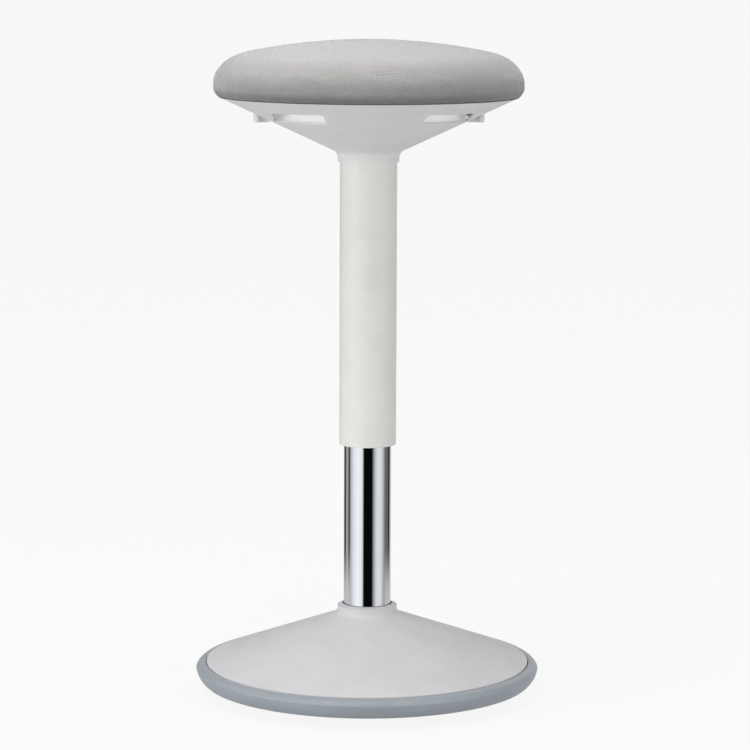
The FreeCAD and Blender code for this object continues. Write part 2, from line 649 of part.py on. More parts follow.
turn(piston, "piston_turned", section(piston, "piston_section", [
    ("spindle_radius + close_fit", "piston_height - piston_length/2"),
    ("cylinder_bore - running_fit", "piston_height - piston_length/2"),
    ("cylinder_bore - running_fit", "piston_height - seal_radius"),
    ("cylinder_bore - seal_radius*2 - running_fit", "piston_height - seal_radius"),
    ("cylinder_bore - seal_radius*2 - running_fit", "piston_height + seal_radius"),
    ("cylinder_bore - running_fit", "piston_height + seal_radius"),
    ("cylinder_bore - running_fit", "piston_height + piston_length/2"),
    ("spindle_radius + close_fit", "piston_height + piston_length/2"),
]))
piston_seal = new_body("piston_seal")
turn(piston_seal, "seal_turned", circles(piston_seal, "seal_section", "XZ_Plane", [
    ("cylinder_bore - seal_radius - running_fit", "piston_height", "seal_radius - close_fit"),
]))

# Gas cylinder with its gland
gas_cylinder = new_body("gas_cylinder")
turn(gas_cylinder, "cylinder_turned", section(gas_cylinder, "cylinder_section", [
    ("cylinder_bore", "cylinder_foot"),
    ("cylinder_radius", "cylinder_foot"),
    ("cylinder_radius", "taper_foot"),
    ("cylinder_radius - taper_loss", "cylinder_top"),
    ("stem_radius + running_fit", "cylinder_top"),
    ("stem_radius + running_fit", "cylinder_top - valve_bore_depth"),
    ("0", "cylinder_top - valve_bore_depth"),
    ("0", "cylinder_chamber_top"),
    ("cylinder_bore", "cylinder_chamber_top"),
]))
cylinder_gland = tube("cylinder_gland", "rod_radius + running_fit", "cylinder_bore - close_fit",
                      "cylinder_foot", "cylinder_foot + gland_length")

# Shroud tube with its glide and the spacer on the bracket's hub
shroud_tube = new_body("shroud_tube")
shroud_turned = turn(shroud_tube, "shroud_turned", section(shroud_tube, "shroud_section", [
    (SHROUD_BORE, "shroud_foot"),
    ("shroud_radius", "shroud_foot"),
    ("shroud_radius", "shroud_top"),
    (SHROUD_BORE, "shroud_top"),
]))
round_edges(shroud_tube, "shroud_foot_round", shroud_turned, "shroud_wall*0.4",
            hoop_at("shroud_radius", "shroud_foot"))
shroud_glide = tube("shroud_glide", "column_radius + running_fit", f"{SHROUD_BORE} - close_fit",
                    "shroud_foot + 2", "shroud_foot + 2 + glide_length")
hub_spacer = tube("hub_spacer", "hub_radius + close_fit", f"{SHROUD_BORE} - close_fit",
                  "shroud_top - spacer_length", "shroud_top")

# Seat shell: cone with neck and sleeve, gussets, push-in posts, finger windows and lever notches
SLEEVE_RADIUS = "shroud_radius + close_fit + sleeve_wall"
seat_shell = new_body("seat_shell")
seat_turned = turn(seat_shell, "seat_shell_turned", section(seat_shell, "seat_shell_section", [
    ("neck_radius", "neck_foot"),
    ("neck_radius", "neck_line"),
    (SEAT_RIM, seat_line(SEAT_RIM)),
    (SEAT_RIM, RIM_TOP),
    (f"{SEAT_RIM} - seat_wall", RIM_TOP),
    (f"{SEAT_RIM} - seat_wall", seat_line(f"{SEAT_RIM} - seat_wall") + " + seat_wall"),
    (SLEEVE_RADIUS, seat_line(SLEEVE_RADIUS) + " + seat_wall"),
    (SLEEVE_RADIUS, "sleeve_top"),
    ("shroud_radius + close_fit", "sleeve_top"),
    ("shroud_radius + close_fit", "neck_foot"),
]))
necked_shell = round_edges(seat_shell, "neck_fillet", seat_turned, "neck_root",
                           hoop_at("neck_radius", "neck_line"))
gusset = section(seat_shell, "gusset_section", [
    ("shroud_radius + sleeve_wall/2", "sleeve_top"),
    ("shroud_radius + sleeve_wall/2", seat_line("shroud_radius + sleeve_wall*2") + " + seat_wall/2"),
    ("shroud_radius + sleeve_wall*2", seat_line("shroud_radius + sleeve_wall*2") + " + seat_wall/2"),
    (f"neck_radius + (sleeve_top - neck_line)*{SEAT_SLOPE}", "sleeve_top + seat_wall/2"),
    (f"neck_radius + (sleeve_top - neck_line - seat_wall)*{SEAT_SLOPE}", "sleeve_top"),
])
seat_rib = raise_up(seat_shell, "seat_rib", gusset, "seat_rib_width", both_ways=True)
around(seat_shell, "seat_ribs", seat_rib, "seat_rib_count")
post = section(seat_shell, "post_section", [
    (POST_PITCH, seat_line(f"{POST_PITCH} - post_radius") + " + seat_wall/2"),
    (f"{POST_PITCH} + post_radius", seat_line(f"{POST_PITCH} - post_radius") + " + seat_wall/2"),
    (f"{POST_PITCH} + post_radius", "board_bottom"),
    (f"{POST_PITCH} + post_tip_radius", "board_bottom"),
    (f"{POST_PITCH} + post_tip_radius", "board_bottom + post_tip_length"),
    (POST_PITCH, "board_bottom + post_tip_length"),
])
seat_post = turn(seat_shell, "seat_post", post, axis="Edge6")
around(seat_shell, "seat_posts", seat_post, "post_count")
turn(seat_shell, "post_feet_trim", section(seat_shell, "post_feet_section", [
    (f"{POST_PITCH} - post_radius*2", seat_line(f"{POST_PITCH} - post_radius*2")),
    (f"{POST_PITCH} + post_radius*2", seat_line(f"{POST_PITCH} + post_radius*2")),
    (f"{POST_PITCH} + post_radius*2", seat_line(f"{POST_PITCH} - post_radius*2")),
]), cut=True)


def on_circle(across, radius, side, end=1):
    """Place in plan on a circle, some way to the right (+1) or left (-1), in front (+1) or behind (-1)."""
    return (f"{side} * ({across})", f"{-end} * sqrt({radius}^2 - ({across})^2)")


NEAR = "window_near_share * window_inner"
SLANT = "window_slant_share * window_outer"
FAR = "window_far_share * window_inner"
END = "window_end_share * window_outer"
windows = new_sketch(seat_shell, "window_outline", "XY_Plane")
for side in (1, -1):
    draw(windows, [
        (*on_circle(NEAR, "window_inner", side), "window_inner", side),
        on_circle(FAR, "window_inner", side),
        (*on_circle(END, "window_outer", side), "window_outer", -side),
        on_circle(SLANT, "window_outer", side),
    ])
window_cut = cut_through(seat_shell, "window_cut", windows)
window_pairs = around(seat_shell, "window_pairs", window_cut, 2)
window_corners = [on_circle(across, radius, side, end)
                  for side in (1, -1) for end in (1, -1)
                  for across, radius in ((NEAR, "window_inner"), (END, "window_outer"),
                                         (SLANT, "window_outer"))]
cornered = round_edges(seat_shell, "window_corners", window_pairs, "window_corner",
                       upright_at(window_corners))
window_tips = [on_circle(FAR, "window_inner", side, end) for side in (1, -1) for end in (1, -1)]
round_edges(seat_shell, "window_tips", cornered, "window_tip", upright_at(window_tips))
notches = new_sketch(seat_shell, "notch_outline", "XY_Plane")
for side in ("", "-"):
    draw(notches, [
        (f"{side}notch_inner", "-notch_width/2"),
        (f"{side}notch_outer", "-notch_width/2"),
        (f"{side}notch_outer", "notch_width/2"),
        (f"{side}notch_inner", "notch_width/2"),
    ])
notch_cut = cut_through(seat_shell, "notch_cut", notches)
notch_corners = [(f"{side} * {radius}", f"{along} * notch_width/2")
                 for side in (1, -1) for along in (1, -1) for radius in ("notch_inner", "notch_outer")]
round_edges(seat_shell, "notch_corners", notch_cut, "notch_corner", upright_at(notch_corners))

# Seat bracket: pressed channel with flanges, tapered hub, bolt holes and pin holes
seat_bracket = new_body("seat_bracket")
hat = new_sketch(seat_bracket, "channel_section", "YZ_Plane")
draw(hat, [
    ("-bracket_width/2", "board_bottom"),
    ("-bracket_width/2", BRACKET_SEAT),
    ("-channel_width/2", BRACKET_SEAT),
    ("-channel_width/2", "channel_floor"),
    ("channel_width/2", "channel_floor"),
    ("channel_width/2", BRACKET_SEAT),
    ("bracket_width/2", BRACKET_SEAT),
    ("bracket_width/2", "board_bottom"),
    ("channel_width/2 - bracket_sheet", "board_bottom"),
    ("channel_width/2 - bracket_sheet", "channel_floor + bracket_sheet"),
    ("-channel_width/2 + bracket_sheet", "channel_floor + bracket_sheet"),
    ("-channel_width/2 + bracket_sheet", "board_bottom"),
])
raise_up(seat_bracket, "channel", hat, "bracket_length", both_ways=True)
turn(seat_bracket, "hub", section(seat_bracket, "hub_section", [
    ("0", "taper_foot"),
    ("hub_radius", "taper_foot"),
    ("hub_radius", "channel_floor + bracket_sheet/2"),
    ("0", "channel_floor + bracket_sheet/2"),
]))
turn(seat_bracket, "hub_taper", section(seat_bracket, "taper_section", [
    ("0", "taper_foot"),
    ("cylinder_radius + close_fit", "taper_foot"),
    ("cylinder_radius - taper_loss + close_fit", "cylinder_top"),
    ("0", "cylinder_top"),
]), cut=True)
bolt_places = [(f"{across}seat_bolt_across/2", f"{along}seat_bolt_along/2") for across in ("", "-")
               for along in ("", "-")]
bracket_holes = circles(seat_bracket, "bracket_holes", "XY_Plane",
                        [(across, along, "bolt_radius + drill_clearance") for across, along in bolt_places])
cut_through(seat_bracket, "bracket_holes_cut", bracket_holes)
pin_holes = circles(seat_bracket, "pin_holes", "XZ_Plane",
                    [(f"{side}pivot_across", PIVOT_HEIGHT, "pin_radius + close_fit") for side in ("", "-")])
cut_through(seat_bracket, "pin_holes_cut", pin_holes)

# Seat board with holes for the insert nuts and the shell's posts
seat_board = new_body("seat_board")
raise_up(seat_board, "board", circles(seat_board, "board_outline", "XY_Plane", [("0", "0", BOARD_RADIUS)],
                                      "board_bottom"), "board_thickness")
nut_holes = circles(seat_board, "nut_holes", "XY_Plane",
                    [(across, along, "nut_radius + close_fit") for across, along in bolt_places])
cut_through(seat_board, "nut_holes_cut", nut_holes)
post_hole = circles(seat_board, "post_hole", "XY_Plane", [(POST_PITCH, "0", "post_tip_radius + close_fit")])
around(seat_board, "post_holes", cut_through(seat_board, "post_hole_cut", post_hole), "post_count")


def bolted(name, corners):
    """Four turned pieces at the seat bolts' places, from one section about their own axis."""
    body = new_body(name)
    shift = new_sketch(body, f"{name}_section", "XZ_Plane", "seat_bolt_along/2")
    draw(shift, [(f"seat_bolt_across/2 + ({across})", up) for across, up in corners])
    reach = number("seat_bolt_across/2")
    line = Part.LineSegment(FreeCAD.Vector(reach, 0, 0), FreeCAD.Vector(reach, reach, 0))
    axis = shift.addGeometry(line, True)
    shift.addConstraint(Sketcher.Constraint("Vertical", axis))
    hold(shift, axis, 1, "seat_bolt_across/2", "0")
    turned = turn(body, f"{name}_turned", shift, axis="Axis0")
    pattern = body.newObject("PartDesign::MultiTransform", f"{name}_corners")
    mirrors = []
    for plane in ("YZ_Plane", "XZ_Plane"):
        mirror = body.newObject("PartDesign::Mirrored", f"{name}_{plane[:2]}")
        mirror.MirrorPlane = (origin_part(body, plane), [""])
        mirrors.append(mirror)
    pattern.Originals = [turned]
    pattern.Transformations = mirrors
    body.Tip = pattern
    doc.recompute()
    return body


insert_nuts = bolted("insert_nuts", [
    ("bolt_radius + close_fit", "board_bottom"),
    ("nut_radius", "board_bottom"),
    ("nut_radius", "board_bottom + nut_depth"),
    ("bolt_radius + close_fit", "board_bottom + nut_depth"),
])
seat_bolts = bolted("seat_bolts", [
    ("0", f"{BRACKET_SEAT} - bolt_head_height"),
    ("bolt_head_radius", f"{BRACKET_SEAT} - bolt_head_height"),
    ("bolt_head_radius", BRACKET_SEAT),
    ("bolt_radius", BRACKET_SEAT),
    ("bolt_radius", "board_bottom + nut_depth"),
    ("0", "board_bottom + nut_depth"),
])


# Pad: the outline is a crown, a shoulder and a tuck, three arcs that run into each other
def crown_height(inset):
    """Height of the middle of the crown's arc, drawn in by an inset."""
    return f"({CROWN_CENTRE} + pad_crown - ({inset}))"


def pad_edge(inset):
    """Corners from the crown's middle to the pad's lower edge, all arcs drawn in by the same inset."""
    crown = f"(pad_crown - ({inset}))"
    shoulder_start = (f"{crown}*{SHOULDER_REACH}",
                      f"{CROWN_CENTRE} + {crown}*sqrt(1 - {SHOULDER_REACH}^2)")
    tuck = f"(pad_tuck - ({inset}))"
    tuck_drop = f"({SHOULDER_HEIGHT} - {HEM_BOTTOM} - ({inset}))"
    tuck_end = f"pad_radius - pad_tuck + sqrt({tuck}^2 - {tuck_drop}^2)"
    return [
        (tuck_end, f"{HEM_BOTTOM} + ({inset})", tuck, 1),
        (f"pad_radius - ({inset})", SHOULDER_HEIGHT, f"(pad_shoulder - ({inset}))", 1),
        (*shoulder_start, crown, 1),
        ("0", crown_height(inset)),
    ]


def pad_lining(inset):
    """The same corners from the crown's middle back down to the lower edge, for the inside of a skin."""
    tuck, shoulder, crown, _ = pad_edge(inset)
    return [
        ("0", crown_height(inset), crown[2], -1),
        (*crown[:2], shoulder[2], -1),
        (*shoulder[:2], tuck[2], -1),
        tuck[:2],
    ]


seat_cover = new_body("seat_cover")
turn(seat_cover, "cover_turned", section(seat_cover, "cover_section",
     [(f"{BOARD_RADIUS} - hem_width", HEM_BOTTOM)] + pad_edge("0") + pad_lining("cover_thickness") +
     [(f"{BOARD_RADIUS} - hem_width", "board_bottom")]))

seat_foam = new_body("seat_foam")
turn(seat_foam, "foam_turned", section(seat_foam, "foam_section",
     [("0", "board_bottom + board_thickness"),
      (f"{BOARD_RADIUS} + close_fit", "board_bottom + board_thickness"),
      (f"{BOARD_RADIUS} + close_fit", "board_bottom + soft_gap")] + pad_edge("cover_thickness + soft_gap")))


# Levers: hub, two arms, curved grip wall, tab and tongue. The right one is the left one turned half round.
def lever(name, turned):
    """A release lever, drawn on the left side (-X) and then turned about the vertical axis."""
    body = new_body(name)
    hub = circles(body, f"{name}_hub_outline", "XZ_Plane",
                  [("-pivot_across", PIVOT_HEIGHT, "lever_hub_radius")])
    raise_up(body, f"{name}_hub", hub, "lever_hub_length", both_ways=True)
    across = ("-1 * {} * cos(grip_reach * 1 deg)", "{} * {} * sin(grip_reach * 1 deg)")
    inner = "(grip_radius - grip_wall)"
    grip = plan(body, f"{name}_grip_outline", [
        (across[0].format("grip_radius"), across[1].format(1, "grip_radius"), "grip_radius", 1),
        (across[0].format("grip_radius"), across[1].format(-1, "grip_radius")),
        (across[0].format(inner), across[1].format(-1, inner), inner, -1),
        (across[0].format(inner), across[1].format(1, inner)),
    ], GRIP_BOTTOM)
    raise_up(body, f"{name}_grip", grip, "grip_above + grip_below")
    arms = new_sketch(body, f"{name}_arm_outline", "XY_Plane", ARM_BOTTOM)
    for side in (1, -1):
        near, far = f"{side}*(arm_offset - arm_width/2)", f"{side}*(arm_offset + arm_width/2)"
        draw(arms, [
            ("-pivot_across", near),
            ("-pivot_across", far),
            ("-grip_radius*0.96 + grip_wall/2", far),
            ("-grip_radius*0.98 + grip_wall/2", near),
        ])
    raise_up(body, f"{name}_arms", arms, "arm_thickness")
    web = plan(body, f"{name}_web_outline", [
        ("-notch_inner - 1", "-web_width/2"),
        ("-notch_inner - 1", "web_width/2"),
        ("-tab_radius + tab_depth/2", "web_width/2"),
        ("-tab_radius + tab_depth/2", "-web_width/2"),
    ], TAB_BOTTOM)
    raise_up(body, f"{name}_web", web, "tab_below - web_below")
    bridge = plan(body, f"{name}_bridge_outline", [
        ("-grip_radius + grip_wall/2", "-web_width/2"),
        ("-grip_radius + grip_wall/2", "web_width/2"),
        ("-notch_inner - 1.5", "web_width/2"),
        ("-notch_inner - 1.5", "-web_width/2"),
    ], GRIP_BOTTOM)
    raise_up(body, f"{name}_bridge", bridge, "grip_below - web_below")
    tab = plan(body, f"{name}_tab_outline", [
        ("-tab_radius", "-tab_width/2"),
        ("-tab_radius + tab_depth", "-tab_width/2"),
        ("-tab_radius + tab_depth", "tab_width/2"),
        ("-tab_radius", "tab_width/2"),
    ], TAB_BOTTOM)
    raise_up(body, f"{name}_tab", tab, "tab_height")
    tongue = plan(body, f"{name}_tongue_outline", [
        ("-pivot_across", "cap_neck_radius + 0.6"),
        ("-1", "cap_neck_radius + 0.6"),
        ("-1", "cap_neck_radius + 0.6 + tongue_width"),
        ("-pivot_across", "cap_neck_radius + 0.6 + tongue_width*2"),
    ], TONGUE_BOTTOM)
    raise_up(body, f"{name}_tongue", tongue, "tongue_thickness")
    bore = circles(body, f"{name}_bore_outline", "XZ_Plane",
                   [("-pivot_across", PIVOT_HEIGHT, "pin_radius + running_fit")])
    bored = cut_through(body, f"{name}_bore", bore)
    tab_edges = [(f"-tab_radius{depth}", f"{side}*tab_width/2")
                 for depth in ("", " + tab_depth") for side in (1, -1)]
    round_edges(body, f"{name}_tab_round", bored, "tab_depth*0.3", upright_at(tab_edges))
    body.Placement = FreeCAD.Placement(FreeCAD.Vector(), FreeCAD.Rotation(FreeCAD.Vector(0, 0, 1), turned))
    return body


left_lever = lever("left_lever", 0)
right_lever = lever("right_lever", 180)

lever_pins = new_body("lever_pins")
pin_line = circles(lever_pins, "pin_outline", "XZ_Plane",
                   [(f"{side}pivot_across", PIVOT_HEIGHT, "pin_radius") for side in ("", "-")])
raise_up(lever_pins, "pins", pin_line, "channel_width + 4", both_ways=True)

valve_cap = new_body("valve_cap")
turn(valve_cap, "cap_turned", section(valve_cap, "cap_section", [
    ("0", f"{CAP_BOTTOM} - stem_length"),
    ("stem_radius", f"{CAP_BOTTOM} - stem_length"),
    ("stem_radius", CAP_BOTTOM),
    ("cap_radius", CAP_BOTTOM),
    ("cap_radius", f"{CAP_BOTTOM} + cap_flange"),
    ("cap_neck_radius", f"{CAP_BOTTOM} + cap_flange"),
    ("cap_neck_radius", f"{CAP_BOTTOM} + cap_flange + cap_groove"),
    ("cap_radius", f"{CAP_BOTTOM} + cap_flange + cap_groove"),
    ("cap_radius", f"{CAP_BOTTOM} + cap_flange*2 + cap_groove"),
    ("0", f"{CAP_BOTTOM} + cap_flange*2 + cap_groove"),
]))

# Check every object, then write one file for each sub-part
doc.recompute()
sub_parts = [obj for obj in doc.Objects if obj.TypeId == "PartDesign::Body"] + [bearing_balls]
for obj in doc.Objects:
    if "Invalid" in obj.State or "Error" in obj.State:
        raise RuntimeError(f"{obj.Name} failed: {obj.State}")
for obj in sub_parts:
    if obj.Shape.isNull() or not obj.Shape.isValid():
        raise RuntimeError(f"{obj.Label} has no valid shape")
os.makedirs("parts", exist_ok=True)
for obj in sub_parts:
    obj.Shape.exportStep(f"parts/{obj.Label}.step")
    print(obj.Label, len(obj.Shape.Solids), "solids", round(obj.Shape.Volume), "mm3")
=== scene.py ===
import logging
import math
from dataclasses import dataclass
from enum import Enum
from typing import Callable, Sequence

import bpy
import numpy as np
from mathutils import Matrix, Vector


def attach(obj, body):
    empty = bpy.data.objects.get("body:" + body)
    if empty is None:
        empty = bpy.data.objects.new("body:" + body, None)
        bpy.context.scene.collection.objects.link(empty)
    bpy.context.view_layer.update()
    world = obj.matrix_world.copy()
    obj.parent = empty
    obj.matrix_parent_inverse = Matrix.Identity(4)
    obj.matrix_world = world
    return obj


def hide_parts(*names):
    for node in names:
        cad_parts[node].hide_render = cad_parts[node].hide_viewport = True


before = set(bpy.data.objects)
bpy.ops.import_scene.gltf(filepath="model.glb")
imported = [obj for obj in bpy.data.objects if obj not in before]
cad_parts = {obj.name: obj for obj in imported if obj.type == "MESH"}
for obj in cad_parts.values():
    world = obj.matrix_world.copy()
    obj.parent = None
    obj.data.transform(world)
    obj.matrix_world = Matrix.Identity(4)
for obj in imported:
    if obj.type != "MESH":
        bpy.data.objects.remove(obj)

log = logging.getLogger("stool")
Colour = tuple[float, float, float]
Socket = bpy.types.NodeSocket
BLACK: Colour = (0.0, 0.0, 0.0)


class Wiring:
    """Adds nodes to one tree and joins them."""

    def __init__(self, tree: bpy.types.NodeTree) -> None:
        """Keep the tree.

        Args:
            tree: the node tree to build in.
        """
        self.tree = tree

    def add(self, kind: str, inputs: dict | None = None, **settings: object) -> bpy.types.Node:
        """Add a node, set its properties, and fill or join its inputs.

        Args:
            kind: the node's type, without its prefix "ShaderNode".
            inputs: socket name or number to a value or an output socket.
            settings: properties of the node.

        Returns:
            The new node.
        """
        node = self.tree.nodes.new(kind if kind.startswith("Node") else f"ShaderNode{kind}")
        for name, value in settings.items():
            setattr(node, name, value)
        for key, value in (inputs or {}).items():
            if isinstance(value, Socket):
                self.tree.links.new(value, node.inputs[key])
            else:
                node.inputs[key].default_value = value
        return node

    def math(self, operation: str, *values: float | Socket, clamp: bool = False) -> Socket:
        """A Math node's result.

        Args:
            operation: the node's operation, such as "ADD".
            values: its one to three inputs.
            clamp: whether to hold the result between 0 and 1.

        Returns:
            The output socket.
        """
        node = self.add("Math", dict(enumerate(values)), operation=operation, use_clamp=clamp)
        return node.outputs[0]

    def blend(self, share: float | Socket, first: object, second: object, mode: str = "MIX") -> Socket:
        """Mix two colours.

        Args:
            share: how much of the second.
            first: a colour or a colour socket.
            second: a colour or a colour socket.
            mode: the Mix node's blend type.

        Returns:
            The colour output.
        """
        inputs = {"Factor": share, 6: self._rgba(first), 7: self._rgba(second)}
        return self.add("Mix", inputs, data_type="RGBA", blend_type=mode).outputs[2]

    @staticmethod
    def _rgba(value: object) -> object:
        """A colour with its alpha, or the socket as it is."""
        return value if isinstance(value, Socket) else (*value, 1.0)

    def spread(self, value: Socket, low: float, high: float, to_low: float = 0.0,
               to_high: float = 1.0) -> Socket:
        """Map a range of values smoothly to another, held at its ends.

        Args:
            value: the value to map.
            low: start of its range.
            high: end of its range.
            to_low: result at the start.
            to_high: result at the end.

        Returns:
            The mapped value.
        """
        inputs = {"Value": value, "From Min": low, "From Max": high, "To Min": to_low, "To Max": to_high}
        return self.add("MapRange", inputs, interpolation_type="SMOOTHSTEP").outputs[0]


def shader_group(name: str, inputs: dict[str, float], outputs: dict[str, str],
                 fill: Callable[[Wiring, dict[str, Socket]], dict[str, Socket]]) -> bpy.types.NodeTree:
    """Build a shader node group once.

    Args:
        name: the group's name.
        inputs: input names and their defaults.
        outputs: output names and their socket types.
        fill: puts the nodes in and returns a socket for each output.

    Returns:
        The node group.
    """
    if name in bpy.data.node_groups:
        return bpy.data.node_groups[name]
    tree = bpy.data.node_groups.new(name, "ShaderNodeTree")
    tree.interface.new_socket("Place", in_out="INPUT", socket_type="NodeSocketVector")
    for key, value in inputs.items():
        tree.interface.new_socket(key, in_out="INPUT", socket_type="NodeSocketFloat").default_value = value
    for key, kind in outputs.items():
        tree.interface.new_socket(key, in_out="OUTPUT", socket_type=kind)
    wiring = Wiring(tree)
    entry = tree.nodes.new("NodeGroupInput")
    ways = fill(wiring, {socket.name: socket for socket in entry.outputs if socket.name})
    leave = tree.nodes.new("NodeGroupOutput")
    for key, socket in ways.items():
        tree.links.new(socket, leave.inputs[key])
    return tree


def grain_group() -> bpy.types.NodeTree:
    """Grain of a moulded or cast surface: fine pebbles, with slow waves from cooling.

    Returns:
        The group with outputs Height, Mottle and Flow.
    """
    def fill(wiring: Wiring, given: dict[str, Socket]) -> dict[str, Socket]:
        """Pebbles from smooth Voronoi cells, waves and flow marks from noise."""
        cells = wiring.add("TexVoronoi", {"Vector": given["Place"], "Scale": given["Pebbles"],
                                          "Smoothness": 0.7}, feature="SMOOTH_F1")
        fine = wiring.add("TexNoise", {"Vector": given["Place"], "Scale": given["Fine"], "Detail": 2.0})
        slow = wiring.add("TexNoise", {"Vector": given["Place"], "Scale": given["Waves"], "Detail": 1.5})
        flow = wiring.add("TexNoise", {"Vector": given["Place"], "Scale": given["Waves"], "Detail": 4.0,
                                       "Distortion": 1.6})
        pebbles = wiring.math("MULTIPLY", cells.outputs["Distance"], 0.6)
        height = wiring.math("MULTIPLY_ADD", fine.outputs["Fac"], 0.4, pebbles)
        height = wiring.math("MULTIPLY_ADD", slow.outputs["Fac"], given["Wave Depth"], height)
        mottle = wiring.spread(fine.outputs["Fac"], 0.3, 0.7)
        return {"Height": height, "Mottle": mottle, "Flow": wiring.spread(flow.outputs["Fac"], 0.35, 0.65)}

    inputs = {"Pebbles": 900.0, "Fine": 2200.0, "Waves": 9.0, "Wave Depth": 1.5}
    outputs = dict.fromkeys(("Height", "Mottle", "Flow"), "NodeSocketFloat")
    return shader_group("moulded_grain", inputs, outputs, fill)


def use_group() -> bpy.types.NodeTree:
    """Traces of use: dust on what faces up, scuffs where hands and feet rub, and worn edges.

    Returns:
        The group with outputs Dust, Scuff and Edge.
    """
    def fill(wiring: Wiring, given: dict[str, Socket]) -> dict[str, Socket]:
        """Dust from the tilt, scuffs from stretched noise between two heights, edges from pointiness."""

        def noise(scale: float, detail: float) -> Socket:
            """Noise at the surface's own place."""
            inputs = {"Vector": given["Place"], "Scale": scale, "Detail": detail}
            return wiring.add("TexNoise", inputs).outputs["Fac"]

        shape = wiring.add("NewGeometry")
        tilt = wiring.add("SeparateXYZ", {0: shape.outputs["Normal"]}).outputs["Z"]
        patches = noise(30.0, 5.0)
        settled = wiring.math("MULTIPLY", wiring.spread(tilt, 0.2, 0.95), wiring.spread(patches, 0.38, 0.75))
        stretched = wiring.add("Mapping", {"Vector": given["Place"], "Scale": (1.0, 1.0, 7.0)}).outputs[0]
        marks = wiring.add("TexNoise", {"Vector": stretched, "Scale": 95.0, "Detail": 3.0, "Distortion": 2.5})
        region = noise(11.0, 1.0)
        height = wiring.add("SeparateXYZ", {0: given["Place"]}).outputs["Z"]
        rise = wiring.math("DIVIDE", wiring.math("SUBTRACT", height, given["Rub From"]), 0.01)
        fall = wiring.math("DIVIDE", wiring.math("SUBTRACT", given["Rub To"], height), 0.01)
        band = wiring.math("MINIMUM", wiring.math("MAXIMUM", rise, 0.0), wiring.math("MAXIMUM", fall, 0.0))
        scuff = wiring.math("MULTIPLY", wiring.spread(marks.outputs["Fac"], 0.62, 0.72),
                            wiring.spread(region, 0.45, 0.6))
        scuff = wiring.math("MULTIPLY", scuff, wiring.math("MINIMUM", band, 1.0), clamp=True)
        edge = wiring.spread(shape.outputs["Pointiness"], 0.505, 0.56)
        broken = wiring.math("MULTIPLY", edge, wiring.spread(patches, 0.3, 0.6))
        return {"Dust": settled, "Scuff": scuff, "Edge": broken}

    outputs = dict.fromkeys(("Dust", "Scuff", "Edge"), "NodeSocketFloat")
    return shader_group("traces_of_use", {"Rub From": -1.0, "Rub To": 2.0}, outputs, fill)


def weave_group() -> bpy.types.NodeTree:
    """A plain weave of two thread sets that pass over and under each other.

    Returns:
        The group with outputs Height, Shade (painted shade, dark where the threads are low) and Slub.
    """
    def fill(wiring: Wiring, given: dict[str, Socket]) -> dict[str, Socket]:
        """Thread height is the larger of two rounded ridges, each raised or lowered in a chequer."""
        wander = wiring.add("TexNoise", {"Vector": given["Place"], "Scale": 22.0, "Detail": 1.0})
        offset = wiring.add("VectorMath", {0: wander.outputs["Color"], 1: (0.5, 0.5, 0.5)},
                            operation="SUBTRACT")
        moved = wiring.add("VectorMath", {0: offset.outputs[0], 1: (0.0022, 0.0022, 0.0), 2: given["Place"]},
                           operation="MULTIPLY_ADD")
        parts = wiring.add("SeparateXYZ", {0: moved.outputs[0]})
        turn = wiring.math("DIVIDE", math.pi, given["Pitch"])
        warp = wiring.math("SINE", wiring.math("MULTIPLY", parts.outputs["X"], turn))
        weft = wiring.math("SINE", wiring.math("MULTIPLY", parts.outputs["Y"], turn))
        over = wiring.math("MULTIPLY", warp, weft)
        warp_ridge = wiring.math("MULTIPLY_ADD", over, 0.5, wiring.math("ABSOLUTE", warp))
        weft_ridge = wiring.math("MULTIPLY_ADD", over, -0.5, wiring.math("ABSOLUTE", weft))
        height = wiring.math("MAXIMUM", warp_ridge, weft_ridge)
        along = wiring.add("Mapping", {"Vector": given["Place"], "Scale": (900.0, 45.0, 1.0)}).outputs[0]
        across = wiring.add("Mapping", {"Vector": given["Place"], "Scale": (45.0, 900.0, 1.0)}).outputs[0]
        slub_one = wiring.add("TexNoise", {"Vector": along, "Scale": 1.0, "Detail": 2.0}).outputs["Fac"]
        slub_two = wiring.add("TexNoise", {"Vector": across, "Scale": 1.0, "Detail": 2.0}).outputs["Fac"]
        slub = wiring.spread(wiring.math("ADD", slub_one, slub_two), 0.75, 1.25)
        # Shade is painted shade: the hollows between threads map towards dark
        return {"Height": height, "Shade": wiring.spread(height, 0.35, 1.3), "Slub": slub}

    outputs = dict.fromkeys(("Height", "Shade", "Slub"), "NodeSocketFloat")
    return shader_group("plain_weave", {"Pitch": 0.0011}, outputs, fill)


